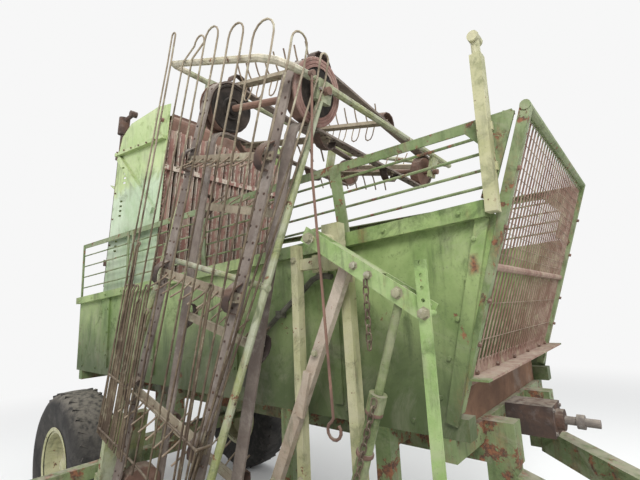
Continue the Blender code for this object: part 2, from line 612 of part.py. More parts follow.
def elevator():
    base = lean_empty("elevator_base", ELEV_FOOT, ELEV_LEAN)
    outer, inner = web_path(0.012), web_path(0.0)
    web = []
    for x in (-WEB_X, WEB_X):
        web.append(flat([outer, inner], 0.075, "YZ", x))
    rest = []
    fingers = []
    for p, nrm, tan in path_points(outer, FINGER_BARS, 0.5):
        a = atan2(tan.y, tan.x) * 180 / pi
        rest.append(block((2 * WEB_X + 0.08, 0.045, 0.014), (0, p.x + nrm.x * 0.004, p.y + nrm.y * 0.004), (a, 0, 0)))
        for i in range(FINGERS):
            x = lerp(-WEB_X + 0.06, WEB_X - 0.06, i / (FINGERS - 1))
            r0 = p + nrm * 0.003
            r1 = p + nrm * 0.07
            r2 = p + nrm * 0.115 + tan * 0.045
            fingers.append([(x, r0.x, r0.y), (x, r1.x, r1.y), (x, r2.x, r2.y)])
    fuse("finger_web", web + rest + [wires(fingers, 0.006, 0)], BELT, parent=base, rough=0.9)
    frame_parts(base)
    rotors(base)
    cage(base)


def frame_parts(base):
    """Side tubes, the arch that carries the cage, and the two tubes over the bunker."""
    ft = 0.018
    left, right = ARCH_X
    y_arch = ARCH_Y
    path = [(left, TUBE_END, arch_z(left) - 0.06), (left, y_arch + 0.03, arch_z(left)),
            (left + 0.03, y_arch, arch_z(left + 0.03)), (right - 0.13, y_arch, arch_z(right - 0.13)),
            (right - 0.05, y_arch + 0.03, arch_z(right - 0.05)), (right - 0.01, y_arch + 0.09, arch_z(right)),
            (right, y_arch + 0.17, arch_z(right)), (right, TUBE_END, arch_z(right) - 0.02)]
    parts = [wires([path], ft, 2)]
    for x0, x1 in ((-0.46, left), (0.405, right)):
        parts.append(rod((x0, -0.02, 0.24), (x1, 0.31, arch_z(x1) - 0.005), ft, 10))
    y_end = WEB_TAIL[0] + 0.215
    parts.append(rod((left, y_end, arch_z(left) - 0.055), (right, y_end, arch_z(right) - 0.02), ft, 10))
    parts.append(rod((-0.464, 0.144, 1.25), (0.434, 0.144, 1.25), 0.016, 10))
    for x in (left, right):
        parts.append(span((x - 0.017, x + 0.017), (WEB_HEAD[0] - 0.05, WEB_HEAD[0] + 0.05),
                          (WEB_HEAD[1] - 0.05, arch_z(x) + 0.012)))
        parts.append(span((x - 0.012, x + 0.012), (WEB_TAIL[0] - 0.04, WEB_TAIL[0] + 0.04),
                          (WEB_TAIL[1] - 0.04, arch_z(x) - 0.03)))
    ca, sa = cos(radians(ELEV_LEAN)), sin(radians(ELEV_LEAN))
    for x, tube_x, s, z0, z1 in ((-0.46, LANE_X[0], 1, -0.04, 0.02), (0.405, LANE_X[1], -1, 0.30, 0.35)):
        parts.append(span((x - 0.02, x + 0.02), (-0.06, WEB_FOOT[0] + 0.06), (-0.05, 0.36)))
        face = tube_x + s * (LANE_T / 2 + GAP)
        lug = (face - ELEV_FOOT[0] - sa * (z0 if s > 0 else z1)) / ca
        parts.append(span((min(x, lug), max(x, lug)), (-0.05, 0.05), (z0, z1)))
    cuts = []
    for y, z, _ in (WEB_HEAD, WEB_TAIL, WEB_FOOT):
        cuts.append(rod((-1, y, z), (1, y, z), 0.0195, 12))
    fuse("elevator_frame", parts, PALE, cuts=cuts, parent=base)


def rotors(base):
    for name, (y, z, r), disc in (("elevator_head_rotor", WEB_HEAD, True),
                                  ("elevator_tail_roller", WEB_TAIL, False),
                                  ("elevator_foot_rotor", WEB_FOOT, False)):
        ends = (-0.50, 0.445) if name.startswith("elevator_foot") else (ARCH_X[0] - 0.03, ARCH_X[1] + 0.045)
        parts = [rod((ends[0], 0, 0), (ends[1], 0, 0), 0.019, 12)]
        for x in (-WEB_X, WEB_X):
            parts.append(rod((x - 0.03, 0, 0), (x + 0.03, 0, 0), r * cos(pi / 18) - GAP, 18))
        cuts = []
        if disc:
            for x in (-0.382, 0.380):
                parts.append(rod((x - 0.004, 0, 0), (x + 0.004, 0, 0), r + 0.016, 24))
            for k in range(4):
                a = k * pi / 2
                cuts.append(rod((-1, 0.078 * cos(a), 0.078 * sin(a)),
                                (1, 0.078 * cos(a), 0.078 * sin(a)), 0.030, 8))
        ob = fuse(name, parts, RUST, cuts=cuts)
        ob.location = (0, y, z)
        ob.parent = base


HAIRPINS = [  # middle at the arch, half width, height above the arch, lean of its top
    (-0.515, 0.014, 0.175, 0.01),
    (-0.360, 0.022, 0.115, 0.15),
    (-0.120, 0.034, 0.170, 0.03),
    (0.075, 0.034, 0.160, 0.03),
    (0.260, 0.036, 0.155, 0.03),
]
SIDE_PINS = [  # middle along Y, half width, height above the tube: loops on the front end of the arch
    (0.120, 0.026, 0.150),
    (0.250, 0.022, 0.130),
]
LOW_PINS = [(-0.270, 0.016), (-0.165, 0.014), (0.060, 0.016), (0.275, 0.012)]  # middle, half width
PIN_R = 0.0055
PIN_FOOT = 0.26                 # lower end of the long pins, along the lean
LOW_PIN_TOP = 1.16


def cage(base):
    y_top = ARCH_Y - 0.018 - PIN_R - GAP

    def leg_y(z):
        return lerp(y_top - 0.33, y_top, z / 2.33)

    def foot_x(x):
        return 0.82 * x + 0.03

    lines = []
    for x, w, hgt, lean in HAIRPINS:
        z0 = arch_z(x)
        pts = [(foot_x(x - w), leg_y(PIN_FOOT), PIN_FOOT), (x - w, y_top, z0)]
        for i in range(6):
            a = pi - i * pi / 5
            pts.append((x + lean + w * cos(a), y_top + 0.01, z0 + hgt - w + w * sin(a)))
        pts += [(x + w, y_top, z0), (foot_x(x + w), leg_y(PIN_FOOT), PIN_FOOT)]
        lines.append(pts)
    side_x = ARCH_X[1] + 0.018 + PIN_R + GAP
    for k, (y, w, hgt) in enumerate(SIDE_PINS):
        z0 = arch_z(ARCH_X[1])
        feet = [(0.355 + 0.032 * k + 0.016 * j, leg_y(PIN_FOOT), PIN_FOOT) for j in (0, 1)]
        pts = [feet[0], (side_x, y - w, z0)]
        for i in range(6):
            a = pi - i * pi / 5
            pts.append((side_x, y + w * cos(a), z0 + hgt - w + w * sin(a)))
        pts += [(side_x, y + w, z0), feet[1]]
        lines.append(pts)
    for x, w in LOW_PINS:
        pts = [(x - w, leg_y(PIN_FOOT) - 0.0125, PIN_FOOT)]
        for i in range(5):
            a = pi - i * pi / 4
            z = LOW_PIN_TOP + w * sin(a)
            pts.append((x + w * cos(a), leg_y(z) - 0.0125, z))
        pts.append((x + w, leg_y(PIN_FOOT) - 0.0125, PIN_FOOT))
        lines.append(pts)
    bars = []
    for z in (0.30, 0.72):
        bars.append(block((0.883, 0.026, 0.03), (-0.0285, leg_y(z) - 0.002, z), (-7.7, 0, 0)))
    for x in (-0.46, 0.405):
        bars.append(span((x - 0.008, x + 0.008), (leg_y(0.30), -0.06 - GAP), (0.285, 0.315)))
    fuse("finger_cage", bars + [wires(lines, PIN_R, 1)], STEEL, parent=base)


# lane posts and lifting gear
def lane_posts():
    half = LANE_T / 2
    top = LANE_Z + half + GAP
    parts = [span((0.965, 1.005), (-0.35, -0.31), (INNER_TOP + GAP, 1.79))]
    parts.append(bar((0.985, -0.33, 0.745), (1.27, -0.33, 0.745), 0.04, 0.04))
    parts.append(bar((1.26, -0.30, top), (1.245, -0.30, 1.72), 0.045, 0.045))
    parts.append(bar((1.27, -0.345, 0.735), (1.27, -0.28, 0.735), 0.05, 0.05))
    parts.append(bar((0.99, -0.31, 1.70), (1.26, -0.31, 1.70), 0.04, 0.05))
    parts.append(bar((ARM_PIVOT[0], -0.31, 1.66), (ARM_PIVOT[0], -0.31, 1.86), 0.05, 0.09))
    parts.append(rod((ARM_PIVOT[0], -0.26, ARM_PIVOT[2]),
                     (ARM_PIVOT[0], ARM_PIVOT[1] + 0.0275, ARM_PIVOT[2]), 0.03, 16))
    parts.append(rod((ARM_PIVOT[0], ARM_PIVOT[1] + 0.03, ARM_PIVOT[2]),
                     (ARM_PIVOT[0], ARM_PIVOT[1] - 0.05, ARM_PIVOT[2]),
                     0.014, 16))
    parts.append(span((1.05, 1.10), (NEAR_Y - 0.0475 - 0.05, NEAR_Y - 0.0475), (1.66, 1.74)))
    parts.append(bar((1.075, NEAR_Y - 0.09, 1.70), (1.075, -0.32, 1.70), 0.03, 0.03))
    fuse("lane_posts", parts, PALE)
    brace = [bar((1.30, -0.372, 1.66), (0.835, -0.372, 0.722), 0.030, 0.05)]
    brace.append(span((0.79, 0.88), (-0.387, -0.357), (INNER_TOP + GAP, 0.73)))
    brace.append(span((1.25, 1.29), (-0.36, -0.3225 - GAP), (1.60, 1.64)))
    brace.append(bar((1.085, -0.393, 1.245), (1.035, -0.393, 1.065), 0.016, 0.035))
    fuse("brace", brace, BEIGE)


def lifting():
    ax, ay, az = ARM_PIVOT
    ex, ey, ez = ARM_END
    parts = []
    for s in (-1, 1):
        parts.append(bar((ax - 0.05, ay + s * 0.024, az + 0.03), (ex, ey + s * 0.024, ez), 0.006, 0.065))
    mid0 = Vector(ARM_PIVOT).lerp(Vector(ARM_END), 0.16)
    mid1 = Vector(ARM_PIVOT).lerp(Vector(ARM_END), 0.62)
    up = Vector((0.28, 0, 0.42)).normalized() * 0.026
    parts.append(bar(mid0 + up, mid1 + up, 0.050, 0.008))
    pins = [rod((ARM_PIN[0], ay - 0.025, ARM_PIN[2]), (ARM_PIN[0], ay + 0.025, ARM_PIN[2]), 0.0095, 12)]
    pins.append(rod((ex, ay - 0.06, ez), (ex, ay + 0.025, ez), 0.010, 12))
    hole = rod((ax, -1, az), (ax, 1, az), 0.0145, 16)
    fuse("lift_arm", parts + pins, GREEN, cuts=[hole], origin=ARM_PIVOT)
    lx, lz = ex, ez
    link = [span((lx - 0.02, lx + 0.02), (ay - 0.046, ay - 0.036), (LINK_LOW, lz + 0.17))]
    link.append(rod((lx, ay - 0.0459, LINK_LOW), (lx, ay - 0.0361, LINK_LOW), 0.042, 20))
    cuts = [rod((lx, -1, lz), (lx, 1, lz), 0.0105, 12)]
    cuts.append(rod((lx, -1, LINK_LOW), (lx, 1, LINK_LOW), 0.024, 16))
    for i in range(4):
        cuts.append(rod((lx, -1, lz + 0.04 * i + 0.04), (lx, 1, lz + 0.04 * i + 0.04), 0.007, 8))
    fuse("lift_link", link, GREEN, cuts=cuts, origin=ARM_END)
    foot, eye = Vector(CYL_FOOT), Vector(ARM_PIN)
    d = (eye - foot).normalized()
    barrel = [rod(foot + d * 0.02, foot + d * 0.42, 0.026, 16)]
    barrel.append(rod(foot + d * 0.36, foot + d * 0.425, 0.032, 16))
    barrel.append(rod((foot.x, foot.y - 0.026, foot.z), (foot.x, foot.y + 0.026, foot.z), 0.025, 16))
    barrel.append(rod(foot + d * 0.10 + Vector((0.0, -0.02, 0)),
                      foot + d * 0.10 + Vector((0.0, -0.055, 0)), 0.010, 8))
    cuts = [rod(foot + d * 0.045, foot + d * 0.6, 0.0165, 16)]
    cuts.append(rod((foot.x, -1, foot.z), (foot.x, 0, foot.z), 0.0125, 16))
    fuse("cylinder_barrel", barrel, GREEN, cuts=cuts, origin=CYL_FOOT)
    piston = [rod(foot + d * 0.24, eye - d * 0.021, 0.0155, 16)]
    piston.append(rod((eye.x, eye.y - 0.013, eye.z), (eye.x, eye.y + 0.013, eye.z), 0.026, 16))
    fuse("cylinder_rod", piston, STEEL, cuts=[rod((eye.x, -1, eye.z), (eye.x, 0, eye.z), 0.0170, 16)])
    half = LANE_T / 2
    top = LANE_Z + half + GAP
    foot_bracket = []
    for s in (-1, 1):
        foot_bracket.append(span((foot.x - 0.03, foot.x + 0.03),
                                 (foot.y + s * 0.032 - 0.004, foot.y + s * 0.032 + 0.004),
                                 (top, foot.z + 0.03)))
    foot_bracket.append(rod((foot.x, foot.y - 0.042, foot.z), (foot.x, foot.y + 0.042, foot.z), 0.012, 16))
    foot_bracket.append(span((foot.x - 0.03, foot.x + 0.03), (foot.y - 0.036, foot.y + 0.036), (top, top + 0.012)))
    fuse("cylinder_bracket", foot_bracket, STEEL)


# digging unit
def digger():
    px, py, pz = DIG_PIVOT
    parts = []
    for s in (-1, 1):
        y = py + s * DIG_HALF
        outline = [(px - 0.05, pz - 0.06), (1.50, 0.17), (1.80, 0.17), (1.84, 0.27), (1.60, 0.42), (px - 0.05, pz + 0.05)]
        parts.append(flat([outline], 0.008, "XZ", y))
    parts.append(rod((1.64, py - 0.28, 0.34), (1.64, py + 0.28, 0.34), 0.025, 12))
    parts.append(rod((1.10, py - 0.28, 0.375), (1.10, py + 0.28, 0.375), 0.014, 10))
    for x, z, r in SIEVE_TURNS:
        parts.append(rod((x, py - DIG_HALF, z), (x, py + DIG_HALF, z), r * cos(pi / 16) - GAP, 16))
    parts.append(rod((1.72, py - DIG_HALF, 0.25), (1.72, py - 0.42, 0.25), 0.014, 14))
    lx = ARM_END[0]
    parts.append(span((lx - 0.03, lx + 0.03), (py + 0.262, ARM_PIVOT[1] + 0.03), (0.34, 0.40)))
    parts.append(span((lx - 0.03, lx + 0.03), (ARM_PIVOT[1] - 0.034, ARM_PIVOT[1] - 0.026), (0.34, LINK_LOW + 0.03)))
    parts.append(rod((lx, ARM_PIVOT[1] - 0.05, LINK_LOW), (lx, ARM_PIVOT[1] - 0.03, LINK_LOW), 0.0095, 12))
    hole = rod((px, -2, pz), (px, 1, pz), 0.0185, 16)
    fuse("digger_frame", parts, GREEN, cuts=[hole], origin=DIG_PIVOT)
    for tag, s in (("near", -1), ("far", 1)):
        y = py + s * 0.12
        share = [bar((1.64, y, 0.31), (1.78, y, 0.10), 0.03, 0.05)]
        share.append(bar((1.74, y, 0.13), (1.92, y - s * 0.06, 0.065), 0.012, 0.09))
        fuse("share_" + tag, share, STEEL)
    sieve(py)
    wheel_y = py - 0.37
    tyre = [rod((0, -0.035, 0), (0, 0.035, 0), 0.16, 24), rod((0, -0.045, 0), (0, 0.045, 0), 0.03, 14)]
    ob = fuse("depth_wheel", tyre, BLACK, cuts=[rod((0, -1, 0), (0, 1, 0), 0.0145, 14)], rough=0.9)
    ob.location = (1.72, wheel_y, 0.25)


SIEVE_TURNS = ((0.78, 0.485, 0.055), (1.48, 0.265, 0.055))
SIEVE_RODS = 24


def sieve(py):
    """The rod web behind the shares: two belts and a row of rods, as one loop."""
    (x0, z0, r0), (x1, z1, r1) = SIEVE_TURNS
    up = atan2(z1 - z0, x1 - x0) * 180 / pi

    def loop(grow):
        return arc(x1, z1, r1 + grow, up - 90, up + 90, 8) + arc(x0, z0, r0 + grow, up + 90, up + 270, 8)

    outer, inner = loop(0.006), loop(0.0)
    parts = [flat([outer, inner], 0.04, "XZ", py + s * 0.225) for s in (-1, 1)]
    lines = []
    for p, _, _ in path_points(loop(0.006), SIEVE_RODS, 0.5):
        lines.append([(p.x, py - 0.235, p.y), (p.x, py + 0.235, p.y)])
    parts.append(wires(lines, 0.005, 0))
    fuse("sieve_web", parts, STEEL, rough=0.8)


HOSE_ROUTE = [(1.105, 1.640), (1.045, 1.655), (0.985, 1.635), (0.904, 1.575), (0.757, 1.480), (0.640, 1.395),
              (0.560, 1.300), (0.500, 1.180), (0.455, 1.110)]      # X and height along the near wall
HOSE_CLIPS = (1, 4, 6)


def hose():
    """The black hose that runs down the near wall, held by three clips."""
    y = NEAR_Y - 0.014 - HOSE_R - 3 * GAP
    parts = [wires([[(x, y, z) for x, z in HOSE_ROUTE]], HOSE_R, 2)]
    for k in HOSE_CLIPS:
        x, z = HOSE_ROUTE[k]
        parts.append(span((x - 0.016, x + 0.016), (y - HOSE_R - 0.003, NEAR_Y - GAP),
                          (z - HOSE_R - 0.004, z + HOSE_R + 0.004)))
    fuse("wall_hose", parts, BLACK, rough=0.8)


PULL_TOP = (0.4468, 0.19, 2.205)  # on the arch's front side, along the elevator's lean
PULL_BEND = (1.236, -0.485, 2.050)
PULL_EYE = (1.292, -0.49, 1.105)


def pull_rod():
    """The long thin rod that hangs from the elevator's front bearing block and ends in an open eye."""
    lean = Matrix.Translation(ELEV_FOOT) @ Matrix.Rotation(radians(ELEV_LEAN), 4, "Y")
    top = lean @ Vector(PULL_TOP)
    low = Vector(PULL_EYE)
    bend = Vector(PULL_BEND)
    d = (low - bend).normalized()
    side = Vector((d.z, 0, -d.x)).normalized()
    eye = [low + 0.03 * (side * sin(a) - d * cos(a)) + d * 0.03 for a in [radians(20 + 29 * i) for i in range(11)]]
    across = lean.to_3x3() @ Vector((1, 0, 0))
    parts = [wires([[top, bend, low - d * 0.01] + eye], 0.006, 1)]
    parts.append(rod(top - across * 0.0135, top + across * 0.012, 0.013, 12))
    fuse("pull_rod", parts, RUST)


def drive():
    box = [span((1.605 + GAP, 1.80), (0.39, 0.55), (0.90, 1.03))]
    box.append(rod((1.79, 0.47, 0.965), (1.83, 0.47, 0.965), 0.045, 20))
    fuse("pto_gearbox", box, STEEL, cuts=[rod((1.70, 0.47, 0.965), (2.0, 0.47, 0.965), 0.0185, 16)])
    ob = fuse("pto_stub",
              [rod((-0.08, 0, 0), (0.13, 0, 0), 0.018, 16), rod((0.045, 0, 0), (0.075, 0, 0), 0.03, 16)], STEEL)
    ob.location = (1.83, 0.47, 0.965)


clear()
chassis()
wheel("near", WHEEL_Y[0], -1)
wheel("far", WHEEL_Y[1], 1)
drawbar()
bunker()
unloader()
elevator()
lane_posts()
lifting()
digger()
hose()
pull_rod()
drive()


def stand_on_origin():
    """Hang everything on one empty, which puts the middle of the footprint on the origin."""
    root = bpy.data.objects.new("harvester", None)
    for ob in COLL.objects:
        if ob.parent is None:
            ob.parent = root
    COLL.objects.link(root)
    bpy.context.view_layer.update()
    corners = []
    for ob in COLL.objects:
        if ob.type == "MESH":
            ev = ob.evaluated_get(bpy.context.evaluated_depsgraph_get())
            corners += [ob.matrix_world @ v.co for v in ev.data.vertices]
    for axis in (0, 1):
        values = [c[axis] for c in corners]
        root.location[axis] = -(min(values) + max(values)) / 2
    root.location.z = -min(c.z for c in corners)
    bpy.context.view_layer.update()


stand_on_origin()
for ob in list(GUIDES.objects):
    ob.hide_render = True
    ob.display_type = "WIRE"
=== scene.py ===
import math
import bpy
import bmesh
from mathutils import Matrix, Vector


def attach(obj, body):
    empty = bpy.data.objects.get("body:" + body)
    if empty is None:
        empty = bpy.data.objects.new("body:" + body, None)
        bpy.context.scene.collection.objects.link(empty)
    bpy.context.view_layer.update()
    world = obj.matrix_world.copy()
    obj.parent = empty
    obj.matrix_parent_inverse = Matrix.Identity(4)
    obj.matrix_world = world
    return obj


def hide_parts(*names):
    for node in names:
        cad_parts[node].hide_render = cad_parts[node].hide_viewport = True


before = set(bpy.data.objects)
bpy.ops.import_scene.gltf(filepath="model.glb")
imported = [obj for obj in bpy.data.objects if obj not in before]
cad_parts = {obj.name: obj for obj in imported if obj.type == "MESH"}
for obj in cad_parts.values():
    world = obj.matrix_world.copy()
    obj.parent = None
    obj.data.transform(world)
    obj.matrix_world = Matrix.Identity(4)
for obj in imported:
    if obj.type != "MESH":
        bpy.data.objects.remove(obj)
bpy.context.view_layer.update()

# Finishes, fasteners and small fittings of a trailed one-row beet harvester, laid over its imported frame

bl_info = {
    "name": "Beet Harvester Finisher",
    "version": (1, 0, 0),
    "blender": (4, 5, 0),
    "location": "View3D > Sidebar > Harvester",
    "description": "Paints, rusts and fits out a trailed beet harvester",
    "category": "Object",
}

X, Y = Vector((1, 0, 0)), Vector((0, 1, 0))
SHIFT = Vector((-0.9075, -0.06775, 0.0))        # from the hitch line to the frame's origin
FOOT = Vector((0.22, -0.63, 0.50)) + SHIFT      # foot shaft of the finger elevator
UNLOADER = Vector((-1.36, 0.475, 1.12)) + SHIFT     # foot of the unloading elevator
LEAN = Matrix.Translation(FOOT) @ Matrix.Rotation(math.radians(15), 4, "Y")
UNL = Matrix.Translation(UNLOADER) @ Matrix.Rotation(math.radians(9), 4, "Y")


class PaintSettings(bpy.types.PropertyGroup):
    """Colours of the machine's finishes"""
    green: bpy.props.FloatVectorProperty(
        name="Green paint", description="Paint of the bunker walls", subtype="COLOR",
        default=(0.150, 0.230, 0.068), min=0, max=1)
    green_faded: bpy.props.FloatVectorProperty(
        name="Faded green", description="Where the sun has bleached the paint", subtype="COLOR",
        default=(0.335, 0.420, 0.175), min=0, max=1)
    lime: bpy.props.FloatVectorProperty(
        name="Yellow green", description="Paint of the finger elevator's tubes", subtype="COLOR",
        default=(0.245, 0.270, 0.100), min=0, max=1)
    rust_light: bpy.props.FloatVectorProperty(
        name="Fresh rust", description="Orange rust in the paint", subtype="COLOR",
        default=(0.240, 0.105, 0.055), min=0, max=1)
    rust_dark: bpy.props.FloatVectorProperty(
        name="Old rust", description="Brown rust in the paint", subtype="COLOR",
        default=(0.085, 0.050, 0.038), min=0, max=1)
    # The moss colour also serves as the painted shade at the foot of the walls.
    moss: bpy.props.FloatVectorProperty(
        name="Moss", description="Dark growth in the corners of the paint", subtype="COLOR",
        default=(0.055, 0.075, 0.030), min=0, max=1)
    dust: bpy.props.FloatVectorProperty(
        name="Dust", description="Barn dust on what faces up", subtype="COLOR",
        default=(0.360, 0.320, 0.260), min=0, max=1)
    rubber: bpy.props.FloatVectorProperty(
        name="Rubber", description="Tyres and grip", subtype="COLOR",
        default=(0.022, 0.021, 0.020), min=0, max=1)


class FitSettings(bpy.types.PropertyGroup):
    """Sizes of the fasteners and fittings"""
    bolt: bpy.props.FloatProperty(
        name="Bolt head", description="Distance across the flats of a frame bolt", subtype="DISTANCE",
        unit="LENGTH", default=0.015, min=0.005, max=0.05)
    rivet: bpy.props.FloatProperty(
        name="Rivet head", description="Width of a belt rivet", subtype="DISTANCE", unit="LENGTH",
        default=0.013, min=0.004, max=0.03)
    cross_wire: bpy.props.FloatProperty(
        name="Grille wire", description="Thickness of the fine cross wires", subtype="DISTANCE",
        unit="LENGTH", default=0.0026, min=0.001, max=0.01)
    lug_count: bpy.props.IntProperty(
        name="Tread blocks", description="Blocks round each road tyre", default=34, min=12, max=60)
    lens: bpy.props.FloatProperty(
        name="Lens", description="Focal length of the camera in millimetres", subtype="DISTANCE_CAMERA",
        default=21.77, min=10, max=80)


# Small helpers of the bench

def settle():
    """Leave edit mode and drop every selection, so the next operator acts on its own piece."""
    if bpy.context.object and bpy.context.object.mode != "OBJECT":
        bpy.ops.object.mode_set(mode="OBJECT")
    bpy.ops.object.select_all(action="DESELECT")


def edit():
    """Open the active piece in edit mode."""
    bpy.ops.object.mode_set(mode="EDIT")


def done():
    """Go back to object mode."""
    bpy.ops.object.mode_set(mode="OBJECT")


def only(ob):
    """Select one piece alone and make it the active one."""
    settle()
    ob.select_set(True)
    bpy.context.view_layer.objects.active = ob


def set_down(ob, place=None):
    """Move a piece to its place and put that place in its mesh."""
    if place is not None:
        ob.matrix_world = place
    only(ob)
    bpy.ops.object.transform_apply(location=True, rotation=True, scale=True)
    return ob


def facing(direction, spin=0.0):
    """The turn that points a piece's own Z along a direction."""
    return Vector(direction).to_track_quat("Z", "Y").to_matrix().to_4x4() @ Matrix.Rotation(spin, 4, "Z")


def standing(place, direction, spin=0.0):
    """A place whose own Z points along a direction."""
    return Matrix.Translation(place) @ facing(direction, spin)


def finish_piece(ob, name, body, finish, smooth):
    """Put the piece's place in its mesh, name it, give it its finish and let it ride on its body."""
    set_down(ob)
    ob.name = name
    ob.data.name = name
    ob.data.materials.clear()
    ob.data.materials.append(FINISHES[finish])
    bpy.ops.object.shade_smooth_by_angle(angle=math.radians(smooth))
    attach(ob, body)
    return ob


def repeat(proto, places, name, body, finish, smooth):
    """One joined piece of many copies of a small part; the small part itself is taken away."""
    out = bmesh.new()
    for place in places:
        copy = proto.data.copy()
        copy.transform(place)
        out.from_mesh(copy)
        bpy.data.meshes.remove(copy)
    mesh = bpy.data.meshes.new(name)
    out.to_mesh(mesh)
    out.free()
    bpy.data.objects.remove(proto, do_unlink=True)
    ob = bpy.data.objects.new(name, mesh)
    bpy.context.scene.collection.objects.link(ob)
    return finish_piece(ob, name, body, finish, smooth)


def merged(parts):
    """Several modelled pieces as one."""
    settle()
    for ob in parts:
        ob.select_set(True)
    bpy.context.view_layer.objects.active = parts[0]
    bpy.ops.object.join()
    return parts[0]


def pick_faces(ob, test):
    """Select in edit mode the faces whose middle and normal pass the test."""
    done()
    for poly in ob.data.polygons:
        poly.select = bool(test(poly.center, poly.normal))
    for edge in ob.data.edges:
        edge.select = False
    edit()
    bpy.ops.mesh.select_mode(type="FACE")


# Parts that are used again and again

WASHER, WASHER_SPREAD = 0.0015, 1.35    # thickness, and width against the bolt's head


def hex_bolt(across, height):
    """A hex head on its washer, standing on the ground plane of its own axes."""
    settle()
    bpy.ops.mesh.primitive_cylinder_add(vertices=6, radius=across / 1.732, depth=height,
                                        location=(0, 0, height / 2 + WASHER))
    head = bpy.context.object
    pick_faces(head, lambda middle, normal: normal.z > 0.9)
    bpy.ops.mesh.inset(thickness=across * 0.09, depth=across * 0.05)
    pick_faces(head, lambda middle, normal: normal.z < -0.9)
    bpy.ops.mesh.extrude_region_move(TRANSFORM_OT_translate={"value": (0, 0, -WASHER)})
    bpy.ops.transform.resize(value=(WASHER_SPREAD, WASHER_SPREAD, 1))
    done()
    bpy.ops.object.transform_apply(location=True)
    return head


def dome_rivet(width):
    """A round rivet head with a flattened crown."""
    settle()
    bpy.ops.mesh.primitive_cylinder_add(vertices=8, radius=width / 2, depth=width * 0.16,
                                        location=(0, 0, width * 0.08))
    head = bpy.context.object
    pick_faces(head, lambda middle, normal: normal.z > 0.9)
    bpy.ops.mesh.extrude_region_move(TRANSFORM_OT_translate={"value": (0, 0, width * 0.17)})
    bpy.ops.transform.resize(value=(0.62, 0.62, 1))
    done()
    bpy.ops.object.transform_apply(location=True)
    return head


def drawn_line(name, points, closed=False):
    """A curve through the points, as an object and its data."""
    settle()
    curve = bpy.data.curves.new(name, "CURVE")
    curve.dimensions = "3D"
    line = curve.splines.new("POLY")
    line.points.add(len(points) - 1)
    for point, place in zip(line.points, points):
        point.co = (*place, 1)
    line.use_cyclic_u = closed
    ob = bpy.data.objects.new(name, curve)
    bpy.context.scene.collection.objects.link(ob)
    only(ob)
    return ob, curve


def round_bar(points, r, sides=6):
    """A bent round bar through the points, with capped ends, as a mesh."""
    _, curve = drawn_line("bar", points)
    curve.bevel_depth = r
    curve.bevel_resolution = sides // 2 - 2
    curve.use_fill_caps = True
    bpy.ops.object.convert(target="MESH")
    return bpy.context.object


def ribbon(line, width, thickness, place, closed):
    """A strip bent along a flat line, which runs in the place's Y and Z; the strip is wide along its X."""
    _, curve = drawn_line("ribbon", [(y, z, 0) for y, z in line], closed)
    curve.extrude = width / 2
    bpy.ops.object.convert(target="MESH")
    ob = bpy.context.object
    edit()
    bpy.ops.mesh.select_all(action="SELECT")
    bpy.ops.mesh.remove_doubles(threshold=0.00002)
    bpy.ops.mesh.normals_make_consistent(inside=False)
    done()
    thick = ob.modifiers.new("thick", "SOLIDIFY")
    thick.thickness = thickness
    thick.offset = 0
    only(ob)
    bpy.ops.object.modifier_apply(modifier=thick.name)
    return set_down(ob, place @ Matrix(((0, 0, 1, 0), (1, 0, 0, 0), (0, 1, 0, 0), (0, 0, 0, 1))))


def spun(section, steps, place):
    """A closed section, given as height along the axis and radius, spun round the axis of its place."""
    settle()
    bpy.ops.mesh.primitive_circle_add(vertices=len(section), radius=1, fill_type="NOTHING")
    ring = bpy.context.object
    for vert, (height, radius) in zip(ring.data.vertices, section):
        vert.co = (radius, 0, height)
    edit()
    bpy.ops.mesh.select_all(action="SELECT")
    bpy.ops.mesh.spin(steps=steps, angle=2 * math.pi, center=(0, 0, 0), axis=(0, 0, 1))
    bpy.ops.mesh.select_all(action="SELECT")
    bpy.ops.mesh.remove_doubles(threshold=0.00002)
    bpy.ops.mesh.normals_make_consistent(inside=False)
    done()
    return set_down(ring, place)


def tapered_block(size, top, drop=0.0):
    """A block on its own ground plane, narrower at the top by the given shares; its +X end hangs by drop."""
    settle()
    bpy.ops.mesh.primitive_cube_add(size=1, location=(0, 0, 0.5))
    ob = bpy.context.object
    bpy.ops.object.transform_apply(location=True)
    edit()
    bpy.ops.mesh.select_all(action="SELECT")
    bpy.ops.transform.resize(value=size, center_override=(0, 0, 0))
    pick_faces(ob, lambda middle, normal: normal.z > 0.9)
    bpy.ops.transform.resize(value=(*top, 1), center_override=(0, 0, size[2]))
    if drop:
        pick_faces(ob, lambda middle, normal: normal.x > 0.7)
        bpy.ops.transform.translate(value=(0, 0, -drop))
    done()
    return ob


# Places on the machine

def on_machine(x, y, z):
    """A place given from the axle and lane lines, in the frame's own axes."""
    return Vector((x, y, z)) + SHIFT


def fasten(node_name, lines, across, height, name, body, finish):
    """Bolts with their washers on a piece of the frame, where the lines meet it."""
    return repeat(hex_bolt(across, height), bolted(node_name, lines), name, body, finish, 30)


def lerp(a, b, t):
    """The value a share t of the way from a to b."""
    return a + (b - a) * t


def skin(name, start, direction):
    """Where a line from start first meets a piece of the frame, and the way its face looks there."""
    met, place, normal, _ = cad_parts[name].ray_cast(start, Vector(direction).normalized())
    if not met:
        raise RuntimeError("the line meets nothing of " + name)
    return place, normal


def bolted(name, lines, stand=0.0003):
    """Places for bolts where lines, given as start and direction, meet a piece of the frame."""
    out = []
    for k, (start, direction) in enumerate(lines):
        place, normal = skin(name, start, direction)
        out.append(standing(place + normal * stand, normal, 0.35 * k))
    return out


# Shader nodes

def feed(tree, sock, value):
    """Link a socket to a socket, or set it to a value."""
    if hasattr(value, "links"):
        tree.links.new(value, sock)
    else:
        sock.default_value = value


